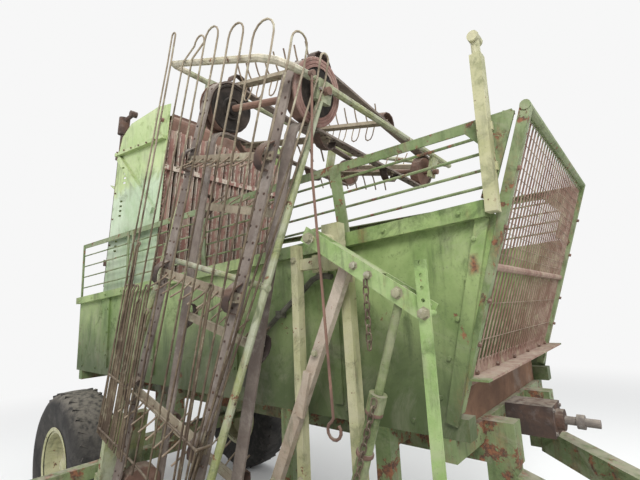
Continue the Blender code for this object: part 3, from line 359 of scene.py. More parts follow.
def node(tree, kind, **values):
    """A new shader node with its settings."""
    made = tree.nodes.new(kind)
    for key, value in values.items():
        setattr(made, key, value)
    return made


def noise(tree, place, scale, detail, rough, distortion=0.0):
    """A noise pattern, from 0 to 1."""
    made = node(tree, "ShaderNodeTexNoise")
    for key, value in (("Vector", place), ("Scale", scale), ("Detail", detail), ("Roughness", rough),
                       ("Distortion", distortion)):
        feed(tree, made.inputs[key], value)
    return made.outputs["Fac"]


def remap(tree, value, low, high, to_low=0.0, to_high=1.0):
    """A value from low to high drawn smoothly onto another range."""
    made = node(tree, "ShaderNodeMapRange", interpolation_type="SMOOTHSTEP")
    for key, source in (("Value", value), ("From Min", low), ("From Max", high), ("To Min", to_low),
                        ("To Max", to_high)):
        feed(tree, made.inputs[key], source)
    return made.outputs["Result"]


def blend_colour(tree, share, a, b):
    """Colour a going over to colour b as the share goes from 0 to 1."""
    made = node(tree, "ShaderNodeMix", data_type="RGBA")
    for sock, source in ((made.inputs[0], share), (made.inputs[6], a), (made.inputs[7], b)):
        feed(tree, sock, source)
    return made.outputs[2]


def calc(tree, operation, a, b=0.0):
    """The sum, product or other outcome of two values, as a socket."""
    made = node(tree, "ShaderNodeMath", operation=operation)
    feed(tree, made.inputs[0], a)
    feed(tree, made.inputs[1], b)
    return made.outputs[0]


def split(tree, vector):
    """The three sizes of a vector, by the letters X, Y and Z."""
    made = node(tree, "ShaderNodeSeparateXYZ")
    tree.links.new(vector, made.inputs[0])
    return made.outputs


def facing_up(tree, low):
    """How far the surface looks up, from 0 at low to 1 where it lies flat."""
    return remap(tree, split(tree, node(tree, "ShaderNodeNewGeometry").outputs["Normal"])["Z"], low, 0.95)


def start_group(name, takes, gives):
    """A new node group with its sockets; also what comes in, what goes out and the place on the piece."""
    tree = bpy.data.node_groups.new(name, "ShaderNodeTree")
    for where, rows in (("INPUT", takes), ("OUTPUT", gives)):
        for title, kind, *default in rows:
            made = tree.interface.new_socket(name=title, in_out=where, socket_type="NodeSocket" + kind)
            if default:
                made.default_value = default[0]
    put = tree.nodes.new("NodeGroupInput").outputs
    give = tree.nodes.new("NodeGroupOutput").inputs
    return tree, put, give, node(tree, "ShaderNodeTexCoord").outputs["Object"]


# Effects that the finishes share

def weathered_paint():
    """Node group: old paint with fading, moss, dirt runs, rust chips, dust on what faces up, and a darker
    lower part, which on the walls is painted shade together with moss.
    """
    tree, put, give, place = start_group("weathered_paint", (
        ("Paint", "Color", (0.1, 0.2, 0.05, 1)), ("Faded", "Color", (0.2, 0.3, 0.1, 1)),
        ("Rust", "Color", (0.2, 0.1, 0.05, 1)), ("Old Rust", "Color", (0.08, 0.05, 0.04, 1)),
        ("Moss", "Color", (0.05, 0.07, 0.03, 1)), ("Dust", "Color", (0.3, 0.3, 0.2, 1)),
        ("Rust Amount", "Float", 0.3), ("Moss Amount", "Float", 0.4), ("Dust Amount", "Float", 0.5),
        ("Scale", "Float", 1.0), ("Grime Foot", "Float", -2.0), ("Grime Head", "Float", -1.0),
        ("Grime Amount", "Float", 0.0)), (("Colour", "Color"), ("Roughness", "Float"), ("Height", "Float")))
    runs = node(tree, "ShaderNodeMapping")
    runs.inputs["Scale"].default_value = (1.0, 1.0, 0.16)
    tree.links.new(place, runs.inputs["Vector"])
    run = runs.outputs["Vector"]

    def pattern(scale, detail, rough, distortion=0.0, along=place):
        return noise(tree, along, calc(tree, "MULTIPLY", put["Scale"], scale), detail, rough, distortion)

    def over(colour, share, top, amount=None):
        if amount is not None:
            share = calc(tree, "MULTIPLY", share, amount)
        return blend_colour(tree, share, colour, top)

    fade = remap(tree, pattern(1.7, 5, 0.62, 0.4), 0.38, 0.66)
    colour = over(put["Paint"], fade, put["Faded"])
    colour = over(colour, remap(tree, pattern(11, 9, 0.7), 0.36, 0.68), put["Faded"], 0.45)
    streak = remap(tree, pattern(16, 6, 0.62, along=run), 0.50, 0.74)
    colour = over(colour, streak, put["Moss"], put["Moss Amount"])
    growth = pattern(4.2, 10, 0.74, 0.6)
    mossy = remap(tree, growth, 0.50, 0.66)
    colour = over(colour, mossy, put["Moss"], put["Moss Amount"])
    # Darker towards the bottom, in the moss colour: on the walls this is painted shade together with moss.
    rise = calc(tree, "MULTIPLY", calc(tree, "SUBTRACT", growth, 0.5), 0.55)
    ragged = calc(tree, "ADD", split(tree, place)["Z"], rise)
    low = remap(tree, ragged, put["Grime Foot"], put["Grime Head"], 1.0, 0.0)
    colour = over(colour, low, put["Moss"], put["Grime Amount"])
    colour = over(colour, remap(tree, pattern(95, 3, 0.6), 0.60, 0.70), put["Moss"], 0.35)
    film = calc(tree, "MULTIPLY", remap(tree, pattern(2.6, 12, 0.78, 0.8), 0.47, 0.64), put["Dust Amount"])
    colour = over(colour, film, put["Dust"], 0.55)
    edge = calc(tree, "SUBTRACT", 0.80, calc(tree, "MULTIPLY", put["Rust Amount"], 0.42))
    chips = pattern(7.5, 11, 0.72, 0.3)
    bare = remap(tree, chips, edge, calc(tree, "ADD", edge, 0.03))
    stain = remap(tree, pattern(9, 8, 0.66, 0.2, run), calc(tree, "SUBTRACT", edge, 0.06),
                  calc(tree, "ADD", edge, 0.14))
    rusty = over(put["Old Rust"], remap(tree, pattern(30, 6, 0.7), 0.4, 0.62), put["Rust"])
    colour = over(colour, stain, rusty, 0.65)
    colour = over(colour, bare, rusty)
    lying = calc(tree, "MULTIPLY", facing_up(tree, 0.35), remap(tree, pattern(14, 6, 0.65), 0.30, 0.62))
    lying = calc(tree, "MULTIPLY", lying, put["Dust Amount"])
    tree.links.new(over(colour, lying, put["Dust"]), give["Colour"])
    covered = calc(tree, "ADD", bare, calc(tree, "ADD", mossy, lying))
    tree.links.new(remap(tree, covered, 0.0, 1.0, 0.52, 0.92), give["Roughness"])
    height = calc(tree, "SUBTRACT", calc(tree, "MULTIPLY", pattern(60, 4, 0.6), 0.35),
                  calc(tree, "MULTIPLY", bare, 0.5))
    tree.links.new(calc(tree, "ADD", height, calc(tree, "MULTIPLY", chips, 0.4)), give["Height"])
    return tree


def rusted_skin():
    """Node group: bare steel gone to brown rust, scaly, with dust on what faces up."""
    tree, put, give, place = start_group("rusted_skin", (
        ("Base", "Color", (0.1, 0.06, 0.04, 1)), ("Bright", "Color", (0.25, 0.11, 0.05, 1)),
        ("Worn", "Color", (0.3, 0.27, 0.24, 1)), ("Dust", "Color", (0.3, 0.3, 0.2, 1)),
        ("Worn Amount", "Float", 0.3), ("Dust Amount", "Float", 0.5), ("Scale", "Float", 1.0),
        ("Edge Start", "Float", 0.0), ("Edge Step", "Float", 1.0), ("Edge Amount", "Float", 0.0)),
        (("Colour", "Color"), ("Roughness", "Float"), ("Height", "Float"), ("Metal", "Float")))

    def pattern(scale, detail, rough, distortion=0.0):
        return noise(tree, place, calc(tree, "MULTIPLY", put["Scale"], scale), detail, rough, distortion)

    fresh = remap(tree, pattern(3.5, 7, 0.66, 0.5), 0.38, 0.64)
    colour = blend_colour(tree, fresh, put["Base"], put["Bright"])
    scale = pattern(42, 8, 0.72)
    flakes = calc(tree, "MULTIPLY", remap(tree, scale, 0.5, 0.66), 0.55)
    colour = blend_colour(tree, flakes, colour, put["Base"])
    wear = calc(tree, "MULTIPLY", remap(tree, pattern(8, 9, 0.7), 0.52, 0.64), put["Worn Amount"])
    along = calc(tree, "SUBTRACT", split(tree, place)["Y"], put["Edge Start"])
    phase = calc(tree, "FRACT", calc(tree, "DIVIDE", along, put["Edge Step"]))
    sides = calc(tree, "LESS_THAN", phase, 0.17), calc(tree, "GREATER_THAN", phase, 0.56)
    edge = calc(tree, "MULTIPLY", calc(tree, "MAXIMUM", *sides), put["Edge Amount"])
    patch = remap(tree, pattern(13, 8, 0.7), 0.40, 0.52)
    wear = calc(tree, "MAXIMUM", wear, calc(tree, "MULTIPLY", edge, patch))
    colour = blend_colour(tree, wear, colour, put["Worn"])
    lying = calc(tree, "MULTIPLY", facing_up(tree, 0.2), put["Dust Amount"])
    lying = calc(tree, "MULTIPLY", lying, remap(tree, pattern(20, 6, 0.6), 0.3, 0.6))
    tree.links.new(blend_colour(tree, lying, colour, put["Dust"]), give["Colour"])
    rough = remap(tree, calc(tree, "SUBTRACT", scale, wear), -0.6, 0.6, 0.45, 0.95)
    tree.links.new(rough, give["Roughness"])
    tree.links.new(scale, give["Height"])
    tree.links.new(calc(tree, "MULTIPLY", wear, 0.5), give["Metal"])
    return tree


def outside_box():
    """Node group: a mask that is 1 outside a box on the piece, with a ragged, blurred rim."""
    tree, put, give, place = start_group("outside_box", (
        ("Low", "Vector", (0, 0, 0)), ("High", "Vector", (1, 1, 1)), ("Blur", "Float", 0.01)),
        (("Mask", "Float"),))
    at, low, high = split(tree, place), split(tree, put["Low"]), split(tree, put["High"])
    gaps = [calc(tree, "SUBTRACT", a[axis], b[axis]) for axis in "XYZ" for a, b in ((low, at), (at, high))]
    past = gaps[0]
    for gap in gaps[1:]:
        past = calc(tree, "MAXIMUM", past, gap)
    ragged = calc(tree, "MULTIPLY", calc(tree, "SUBTRACT", noise(tree, place, 5.0, 8, 0.7), 0.5), 3.0)
    past = calc(tree, "ADD", calc(tree, "DIVIDE", past, put["Blur"]), ragged)
    tree.links.new(remap(tree, past, -0.5, 0.5), give["Mask"])
    return tree


# Finishes

GROUPS = {}
FINISHES = {}

PAINTS = (      # name, paint, faded paint, rust, moss, dust, scale of the pattern
    ("frame_green", (0.115, 0.165, 0.065), (0.190, 0.230, 0.110), 0.62, 0.65, 0.6, 1.6),
    ("bright_green", (0.200, 0.300, 0.095), (0.330, 0.420, 0.195), 0.38, 0.50, 0.5, 2.0),
    ("rail_green", (0.120, 0.175, 0.060), (0.215, 0.260, 0.130), 0.55, 0.55, 0.5, 2.0),
    ("mossy_green", (0.120, 0.150, 0.060), (0.210, 0.250, 0.110), 0.45, 0.70, 0.5, 2.0),
    ("plate_lime", (0.330, 0.430, 0.165), (0.470, 0.550, 0.270), 0.34, 0.45, 0.4, 1.0),
    ("arch_beige", (0.360, 0.330, 0.215), (0.540, 0.490, 0.390), 0.48, 0.45, 0.5, 1.8),
    ("lime_post", (0.330, 0.330, 0.165), (0.450, 0.430, 0.270), 0.45, 0.45, 0.5, 1.8),
    ("pink_beige", (0.330, 0.255, 0.190), (0.450, 0.380, 0.310), 0.45, 0.35, 0.5, 2.0),
)
RUSTS = (       # name, base, bright rust, worn colour, worn, dust, scale of the pattern
    ("brown_rust", (0.120, 0.072, 0.055), (0.215, 0.125, 0.092), (0.33, 0.29, 0.25), 0.15, 0.5, 1.0),
    ("channel_rust", (0.205, 0.110, 0.092), (0.300, 0.190, 0.160), (0.46, 0.41, 0.36), 0.45, 0.5, 1.3),
    ("grille_rust", (0.200, 0.115, 0.088), (0.310, 0.225, 0.175), (0.36, 0.35, 0.22), 0.40, 0.4, 2.0),
    ("rod_rust", (0.170, 0.120, 0.085), (0.280, 0.215, 0.150), (0.36, 0.34, 0.24), 0.35, 0.4, 2.0),
    ("cage_brown", (0.075, 0.052, 0.036), (0.150, 0.115, 0.075), (0.30, 0.28, 0.19), 0.35, 0.3, 2.0),
    ("bar_pale", (0.210, 0.170, 0.120), (0.330, 0.280, 0.205), (0.45, 0.43, 0.31), 0.55, 0.5, 2.0),
    ("nut_olive", (0.190, 0.175, 0.110), (0.300, 0.290, 0.190), (0.45, 0.43, 0.36), 0.60, 0.4, 2.5),
    ("dull_steel", (0.150, 0.130, 0.115), (0.240, 0.205, 0.180), (0.44, 0.42, 0.40), 0.60, 0.5, 2.0),
    ("dark_iron", (0.055, 0.040, 0.035), (0.120, 0.070, 0.050), (0.25, 0.22, 0.20), 0.25, 0.5, 1.5),
    ("floor_rust", (0.130, 0.075, 0.050), (0.230, 0.130, 0.080), (0.33, 0.29, 0.25), 0.30, 0.7, 0.8),
    ("drum_black", (0.020, 0.017, 0.015), (0.055, 0.042, 0.034), (0.13, 0.11, 0.10), 0.20, 0.3, 1.5),
    ("hose_grey", (0.060, 0.058, 0.046), (0.125, 0.120, 0.092), (0.20, 0.20, 0.15), 0.30, 0.6, 2.0),
)
NO_DARKENING = (-2.0, -1.0, 0.0)                    # foot and head of the dark lower part, and how dark it is
# On the walls the dark lower part is painted shade together with moss.
WALL_SHADE_AND_MOSS, PLATE_DARKENING = (1.02, 1.78, 0.92), (1.2, 2.5, 0.30)
NO_STRIPES = (0.0, 1.0, 0.0)                    # first worn stripe, step to the next, and how worn they are
RIB_STRIPES = (-0.197, 0.09537, 0.9)            # along the edges of the unloading elevator's channels
FAR = 9.0                                       # past every side of the machine
RUST_PATCH = Vector((0.838, -0.268, 1.632))     # bare spot on the near wall
PATCH_HALF = Vector((0.016, 0.200, 0.034))      # half its size
GRILLE_Y, GRILLE_TOP = (-0.150, 1.100), 2.120   # between the grille's edge posts, and under its top bar
PLATE_LIME_FOOT = 2.66                          # where the unloading elevator's plates turn yellow-green
RODS_PALE_FOOT = 2.30                           # where the guide rods turn pale
ARCH_PALE_FOOT, ARCH_PALE_DEPTH = 2.45, 0.13    # where the elevator's tubes have lost their green


def opaque(colour):
    """A colour with nothing seen through it."""
    return (*colour, 1)


def material(name, group, values, bump, metal):
    """A Principled finish fed by one of the shared groups, with its own values."""
    mat = bpy.data.materials.new(name)
    mat.use_nodes = True
    tree = mat.node_tree
    shader = tree.nodes["Principled BSDF"]
    shader.inputs["Specular IOR Level"].default_value = 0.35
    coat = node(tree, "ShaderNodeGroup", node_tree=GROUPS[group])
    for key, value in values.items():
        coat.inputs[key].default_value = value
    relief = node(tree, "ShaderNodeBump")
    relief.inputs["Strength"].default_value = 0.55
    relief.inputs["Distance"].default_value = bump
    links = [(coat.outputs["Colour"], shader.inputs["Base Color"]),
             (coat.outputs["Roughness"], shader.inputs["Roughness"]),
             (coat.outputs["Height"], relief.inputs["Height"]),
             (relief.outputs["Normal"], shader.inputs["Normal"])]
    if metal:
        links.append((coat.outputs["Metal"], shader.inputs["Metallic"]))
    for source, target in links:
        tree.links.new(source, target)
    FINISHES[name] = mat


def paint_finish(name, paint, faded, rust, moss, dust=0.5, scale=1.0, darkening=NO_DARKENING):
    """Old paint, from the shared group and the panel's rust, moss and dust."""
    p = bpy.context.scene.harvester_paint
    # The last argument gives the dark lower part, which on the walls is painted shade together with moss.
    material(name, "paint", {
        "Paint": opaque(paint), "Faded": opaque(faded), "Rust": opaque(p.rust_light),
        "Old Rust": opaque(p.rust_dark), "Moss": opaque(p.moss), "Dust": opaque(p.dust), "Rust Amount": rust,
        "Moss Amount": moss, "Dust Amount": dust, "Scale": scale, "Grime Foot": darkening[0],
        "Grime Head": darkening[1], "Grime Amount": darkening[2]}, 0.002, False)


def rust_finish(name, base, bright, worn_colour, worn, dust, scale, bump=0.0015, metal=True,
                stripes=NO_STRIPES):
    """Rusted steel, or with metal off any dark, worn stuff, from the shared group."""
    p = bpy.context.scene.harvester_paint
    material(name, "rust", {
        "Base": opaque(base), "Bright": opaque(bright), "Worn": opaque(worn_colour), "Dust": opaque(p.dust),
        "Worn Amount": worn, "Dust Amount": dust, "Scale": scale, "Edge Start": stripes[0],
        "Edge Step": stripes[1], "Edge Amount": stripes[2]}, bump, metal)


def coat_of(mat):
    """The node of the shared group in a finish."""
    return next(n for n in mat.node_tree.nodes if n.type == "GROUP")


def two_coats(name, inner, outer, low, high, blur):
    """A finish that is one coat inside a box on the piece and another outside it."""
    mat = FINISHES[inner].copy()
    mat.name = name
    tree = mat.node_tree
    shader = tree.nodes["Principled BSDF"]
    relief = next(n for n in tree.nodes if n.type == "BUMP")
    first, source = coat_of(mat), coat_of(FINISHES[outer])
    second = node(tree, "ShaderNodeGroup", node_tree=source.node_tree)
    for given in source.inputs:
        second.inputs[given.name].default_value = given.default_value
    mask = node(tree, "ShaderNodeGroup", node_tree=GROUPS["outside"])
    for key, value in (("Low", low), ("High", high), ("Blur", blur)):
        mask.inputs[key].default_value = value
    for key, target in (("Colour", shader.inputs["Base Color"]), ("Roughness", shader.inputs["Roughness"]),
                        ("Height", relief.inputs["Height"])):
        mixed = blend_colour(tree, mask.outputs["Mask"], first.outputs[key], second.outputs[key])
        tree.links.new(mixed, target)
    if shader.inputs["Metallic"].links:
        tree.links.remove(shader.inputs["Metallic"].links[0])
    FINISHES[name] = mat


def build_finishes():
    """Every finish of the machine, from the tables and the panel's colours."""
    p = bpy.context.scene.harvester_paint
    GROUPS.update(paint=weathered_paint(), rust=rusted_skin(), outside=outside_box())
    for row in PAINTS:
        paint_finish(*row)
    for row in RUSTS:
        rust_finish(*row)
    green, faded, lime = tuple(p.green), tuple(p.green_faded), tuple(p.lime)
    # The walls darken towards their foot: painted shade together with moss.
    paint_finish("wall_green", green, faded, 0.38, 0.70, 0.4, darkening=WALL_SHADE_AND_MOSS)
    paint_finish("bare_patch", green, faded, 1.7, 0.5, 0.7, 3.0)
    paint_finish("lime_tube", lime, tuple(0.6 * c + 0.22 for c in lime), 0.5, 0.6, scale=1.8)
    paint_finish("pale_green", (0.330, 0.440, 0.255), (0.500, 0.590, 0.430), 0.30, 0.40, 0.4,
                 darkening=PLATE_DARKENING)
    rust_finish("rib_rust", (0.235, 0.120, 0.100), (0.330, 0.200, 0.165), (0.52, 0.46, 0.38), 0.35, 0.3, 1.3,
                stripes=RIB_STRIPES)
    rust_finish("belt_brown", (0.150, 0.118, 0.100), (0.240, 0.200, 0.170), (0.330, 0.300, 0.270), 0.35, 0.6,
                1.4, metal=False)
    rust_finish("tyre_rubber", tuple(p.rubber), (0.050, 0.046, 0.042), (0.095, 0.085, 0.075), 0.25, 0.35, 1.6,
                bump=0.001, metal=False)
    near, far = GRILLE_Y[0] + SHIFT.y, GRILLE_Y[1] + SHIFT.y
    two_coats("grille_olive", "grille_rust", "rail_green", (-FAR, near, -FAR), (FAR, far, GRILLE_TOP), 0.004)
    two_coats("tube_ends", "arch_beige", "lime_tube", (-FAR, -FAR, ARCH_PALE_FOOT),
              (FAR, FOOT.y + ARCH_PALE_DEPTH, FAR), 0.10)
    two_coats("wall_patched", "bare_patch", "wall_green", RUST_PATCH - PATCH_HALF, RUST_PATCH + PATCH_HALF,
              0.03)
    deep = (-FAR, -FAR, -FAR)
    two_coats("plate_greens", "pale_green", "plate_lime", deep, (FAR, FAR, PLATE_LIME_FOOT), 0.12)
    two_coats("cage_fading", "cage_brown", "bar_pale", deep, (FAR, FAR, RODS_PALE_FOOT), 0.80)


NODES_BY_FINISH = {
    "wall_patched": ("wall_near",), "wall_green": ("wall_far", "wall_rear", "unloader_rear_sheet"),
    "rail_green": ("rails_near", "rails_far"), "floor_rust": ("bunker_floor",),
    "grille_olive": ("front_grille",),
    "lime_post": ("mast", "rim_near", "rim_far", "lane_posts"),
    "frame_green": ("chassis_frame", "drawbar", "digger_frame"),
    "dull_steel": ("jack_tube", "jack_leg", "share_near", "share_far", "pto_stub"),
    "tyre_rubber": ("tyre_near", "tyre_far", "depth_wheel"),
    "plate_greens": ("unloader_plate_near", "unloader_plate_far"), "rib_rust": ("unloader_ribs",),
    "channel_rust": ("unloader_head_shaft",), "belt_brown": ("finger_web",), "tube_ends": ("elevator_frame",),
    "brown_rust": ("unloader_band", "elevator_head_rotor", "elevator_tail_roller", "elevator_foot_rotor",
                   "pull_rod", "sieve_web"),
    "dark_iron": ("unloader_side_tube", "cylinder_bracket", "pto_gearbox"), "rod_rust": ("finger_cage",),
    "pink_beige": ("brace",), "bright_green": ("lift_arm", "lift_link"),
    "mossy_green": ("cylinder_barrel", "cylinder_rod"), "hose_grey": ("wall_hose",),
}


def paint_nodes():
    """Give every piece of the frame its finish."""
    finish_of = {name: finish for finish, names in NODES_BY_FINISH.items() for name in names}
    for name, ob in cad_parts.items():
        finish = FINISHES[finish_of[name]]
        for slot in ob.material_slots:
            slot.material = finish
        if not ob.material_slots:
            ob.data.materials.append(finish)


# Stage

WHITE = (0.93, 0.93, 0.93, 1)       # what the camera sees past the machine
FLOOR_FADE = (3.2, 9.0)             # where the floor starts to go over to white, and where it has
LAMPS = (                           # name, place, watts, size
    ("key", (4.0, -5.0, 6.0), 560, 3.0), ("fill", (5.5, 3.0, 4.0), 170, 4.0),
    ("top", (-1.0, 0.5, 7.0), 330, 6.0), ("back", (-6.0, -4.0, 4.5), 150, 4.0),
)
LAMP_AIM = Vector((-0.5, 0, 1.2))
EYE = Vector((2.22, -1.61, 1.50)) + SHIFT
EYE_AHEAD, EYE_RIGHT = Vector((-0.638, 0.750, 0.174)), Vector((0.7557, 0.653, -0.0447))


def lay_floor():
    """A pale floor that goes over to white far out, for the camera alone."""
    settle()
    bpy.ops.mesh.primitive_plane_add(size=60, location=(0, 0, 0))
    floor = bpy.context.object
    floor.name = "floor"
    mat = bpy.data.materials.new("floor_pale")
    mat.use_nodes = True
    tree = mat.node_tree
    shader = tree.nodes["Principled BSDF"]
    shader.inputs["Base Color"].default_value = (0.78, 0.78, 0.77, 1)
    shader.inputs["Roughness"].default_value = 0.9
    far = node(tree, "ShaderNodeVectorMath", operation="LENGTH")
    tree.links.new(node(tree, "ShaderNodeTexCoord").outputs["Object"], far.inputs[0])
    seen = node(tree, "ShaderNodeLightPath").outputs["Is Camera Ray"]
    share = calc(tree, "MULTIPLY", remap(tree, far.outputs["Value"], *FLOOR_FADE), seen)
    white, fade = node(tree, "ShaderNodeEmission"), node(tree, "ShaderNodeMixShader")
    white.inputs["Color"].default_value = WHITE
    for source, target in ((share, fade.inputs[0]), (shader.outputs["BSDF"], fade.inputs[1]),
                           (white.outputs["Emission"], fade.inputs[2]),
                           (fade.outputs["Shader"], tree.nodes["Material Output"].inputs["Surface"])):
        tree.links.new(source, target)
    floor.data.materials.append(mat)


def light_stage():
    """A soft sky that the camera sees as plain white, and four soft lamps."""
    scene = bpy.context.scene
    world = bpy.data.worlds.new("studio")
    world.use_nodes = True
    scene.world = world
    tree = world.node_tree
    sky = tree.nodes["Background"]
    sky.inputs["Color"].default_value = (0.90, 0.93, 0.97, 1)
    sky.inputs["Strength"].default_value = 0.42
    seen = node(tree, "ShaderNodeBackground")
    seen.inputs["Color"].default_value = WHITE
    seen.inputs["Strength"].default_value = 1.0
    mix = node(tree, "ShaderNodeMixShader")
    for source, target in ((node(tree, "ShaderNodeLightPath").outputs["Is Camera Ray"], mix.inputs[0]),
                           (sky.outputs[0], mix.inputs[1]), (seen.outputs[0], mix.inputs[2]),
                           (mix.outputs[0], tree.nodes["World Output"].inputs["Surface"])):
        tree.links.new(source, target)
    for name, place, watts, size in LAMPS:
        lamp = bpy.data.lights.new(name, "AREA")
        lamp.energy = watts
        lamp.size = size
        ob = bpy.data.objects.new(name, lamp)
        scene.collection.objects.link(ob)
        ob.location = place
        ob.rotation_mode = "QUATERNION"
        ob.rotation_quaternion = (LAMP_AIM - Vector(place)).to_track_quat("-Z", "Y")


def place_camera():
    """The camera at the photo's place and angle."""
    scene = bpy.context.scene
    cam = bpy.data.cameras.new("camera")
    cam.lens = scene.harvester_fit.lens
    cam.sensor_width = 36
    cam.clip_start, cam.clip_end = 0.05, 200
    ob = bpy.data.objects.new("camera", cam)
    scene.collection.objects.link(ob)
    ahead = EYE_AHEAD.normalized()
    right = (EYE_RIGHT - ahead * EYE_RIGHT.dot(ahead)).normalized()
    turn = Matrix((right, right.cross(ahead), -ahead)).transposed().to_4x4()
    ob.matrix_world = Matrix.Translation(EYE) @ turn
    scene.camera = ob
    scene.view_settings.view_transform = "Standard"


class HARVESTER_OT_finishes(bpy.types.Operator):
    """Build the finishes and paint every piece of the frame"""
    bl_idname = "harvester.finishes"
    bl_label = "Paint the frame"

    def execute(self, context):
        build_finishes()
        paint_nodes()
        return {"FINISHED"}


class HARVESTER_OT_stage(bpy.types.Operator):
    """Lay the floor, hang the lamps and place the camera"""
    bl_idname = "harvester.stage"
    bl_label = "Stage"

    def execute(self, context):
        lay_floor()
        light_stage()
        place_camera()
        return {"FINISHED"}


# Wheels

AXLE_X, AXLE_Z = -1.10, 0.50
WHEELS = (("near", -0.52, -1), ("far", 1.03, 1))          # name, middle along Y, outward side
TYRE_HALF = (           # out from the middle, radius
    (0.000, 0.486), (0.060, 0.484), (0.100, 0.474), (0.128, 0.452), (0.146, 0.418), (0.149, 0.380),
    (0.143, 0.335), (0.131, 0.290), (0.126, 0.262), (0.124, 0.2415),
)
BLOCK_SIZE, BLOCK_TOP, BLOCK_DROP = (0.125, 0.034, 0.0305), (0.90, 0.60), 0.016     # of the tread
BLOCK_FOOT, BLOCK_SLANT = (0.468, 0.060), math.radians(32)      # radius and offset from the middle
NUT_CIRCLE, HUB_FACE, CAP_FOOT, RIM_SIDE = 0.12, 0.0062, 0.0603, 0.1263
HUB_CAP = ((0.0, 0.002), (0.0, 0.047), (0.010, 0.047), (0.019, 0.041), (0.024, 0.030), (0.026, 0.002))
RIM_EDGE = ((0.0, 0.236), (0.0, 0.257), (0.004, 0.262), (0.0075, 0.258), (0.0035, 0.236))
DEPTH_AXLE, DEPTH_RIBS, DEPTH_RIB_FOOT = (1.72, -1.00, 0.25), 26, 0.149
DEPTH_SECTION = (       # along the axle, radius
    (-0.033, 0.030), (-0.033, 0.085), (-0.020, 0.100), (-0.033, 0.112), (-0.034, 0.138), (-0.026, 0.152),
    (0.0, 0.157), (0.026, 0.152), (0.034, 0.138), (0.033, 0.112), (0.020, 0.100), (0.033, 0.085),
    (0.033, 0.030), (0.0445, 0.028), (0.0445, 0.0150), (-0.0445, 0.0150), (-0.0445, 0.028),
)


class HARVESTER_OT_tyres(bpy.types.Operator):
    """Both road tyres, with a tread of slanting blocks"""
    bl_idname = "harvester.tyres"
    bl_label = "Road tyres"

    def execute(self, context):
        count = context.scene.harvester_fit.lug_count
        section = TYRE_HALF + tuple((-out, radius) for out, radius in reversed(TYRE_HALF[1:]))
        radius, aside = BLOCK_FOOT
        for tag, y, _ in WHEELS:
            centre = Matrix.Translation(on_machine(AXLE_X, y, AXLE_Z)) @ Matrix.Rotation(-math.pi / 2, 4, "X")
            places = []
            for k in range(count):
                for side in (-1, 1):
                    turn = Matrix.Rotation(2 * math.pi * (k + 0.25 * side) / count, 4, "Z")
                    slant = math.radians(180 if side > 0 else 0) + side * BLOCK_SLANT
                    places.append(centre @ turn @ Matrix.Translation((radius, 0, side * aside))
                                  @ Matrix.Rotation(math.pi / 2, 4, "Y") @ Matrix.Rotation(slant, 4, "Z"))
            block = tapered_block(BLOCK_SIZE, BLOCK_TOP, BLOCK_DROP)
            tread = repeat(block, places, "tread_" + tag, "wheel_" + tag, "tyre_rubber", 25)
            carcass = spun(section, 72, centre)
            tyre = finish_piece(carcass, "road_tyre_" + tag, "wheel_" + tag, "tyre_rubber", 60)
            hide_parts("tyre_" + tag)
        return {"FINISHED"}


class HARVESTER_OT_wheel_trim(bpy.types.Operator):
    """Nuts, hub caps and the rolled edges of the rims"""
    bl_idname = "harvester.wheel_trim"
    bl_label = "Wheel nuts and caps"

    def execute(self, context):
        for tag, y, s in WHEELS:
            body, middle = "wheel_" + tag, on_machine(AXLE_X, y, AXLE_Z)
            nuts = []
            for k in range(6):
                a = k * math.pi / 3
                spot = Vector((NUT_CIRCLE * math.cos(a), s * HUB_FACE, NUT_CIRCLE * math.sin(a)))
                nuts.append(standing(middle + spot, (0, s, 0)))
            repeat(hex_bolt(0.024, 0.015), nuts, "wheel_nuts_" + tag, body, "dull_steel", 30)
            cap = spun(HUB_CAP, 28, standing(middle + Y * s * CAP_FOOT, (0, s, 0)))
            finish_piece(cap, "hub_cap_" + tag, body, "lime_post", 30)
            edges = [spun(RIM_EDGE, 56, standing(middle + way * RIM_SIDE, way)) for way in (-Y, Y)]
            finish_piece(merged(edges), "rim_edges_" + tag, body, "lime_post", 50)
        return {"FINISHED"}


class HARVESTER_OT_depth_wheel(bpy.types.Operator):
    """The small wheel that holds the digging depth, with its ribbed tyre"""
    bl_idname = "harvester.depth_wheel"
    bl_label = "Depth wheel"

    def execute(self, context):
        centre = standing(on_machine(*DEPTH_AXLE), (0, 1, 0))
        wheel = spun(DEPTH_SECTION, 48, centre)
        finish_piece(wheel, "depth_tyre", "depth_wheel_body", "tyre_rubber", 35)
        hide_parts("depth_wheel")
        foot = Matrix.Translation((DEPTH_RIB_FOOT, 0, 0)) @ Matrix.Rotation(math.pi / 2, 4, "Y")
        turns = [centre @ Matrix.Rotation(2 * math.pi * k / DEPTH_RIBS, 4, "Z") @ foot
                 for k in range(DEPTH_RIBS)]
        rib = tapered_block((0.046, 0.016, 0.0105), (0.85, 0.6))
        ribs = repeat(rib, turns, "depth_tread", "depth_wheel_body", "tyre_rubber", 25)
        return {"FINISHED"}


# Bunker

RIB_SPOTS = [(x, z) for x in (-1.45, -0.62, 0.36) for z in (1.19, 1.38, 1.58)]
WIRE_HEIGHTS = [lerp(1.665, 2.125, k / 12) for k in range(13)] + [1.36, 1.49]
GRILLE_SPOTS = ([(y, 1.24) for y in (-0.10, 0.15, 0.40, 0.65, 0.90, 1.05)]
                + [(y, z) for y in (-0.178, 1.128) for z in (1.35, 1.50, 1.75, 1.95)])
GRILLE_ROD_FACE = 0.012 + 0.0035        # from the bunker's front edge to the front of the grille's rods
BUNKER_AHEAD = 2.4                      # a plane clear in front of the grille


def flange_z(x):
    """The height of the walls' top flange, which climbs to the front."""
    return lerp(1.71, 1.85, (x + 2.17) / 4.0)


def front_x(z):
    """How far forward the bunker's slanting front edge is at a height."""
    return lerp(1.60, 1.96, (z - 1.095) / 1.065)


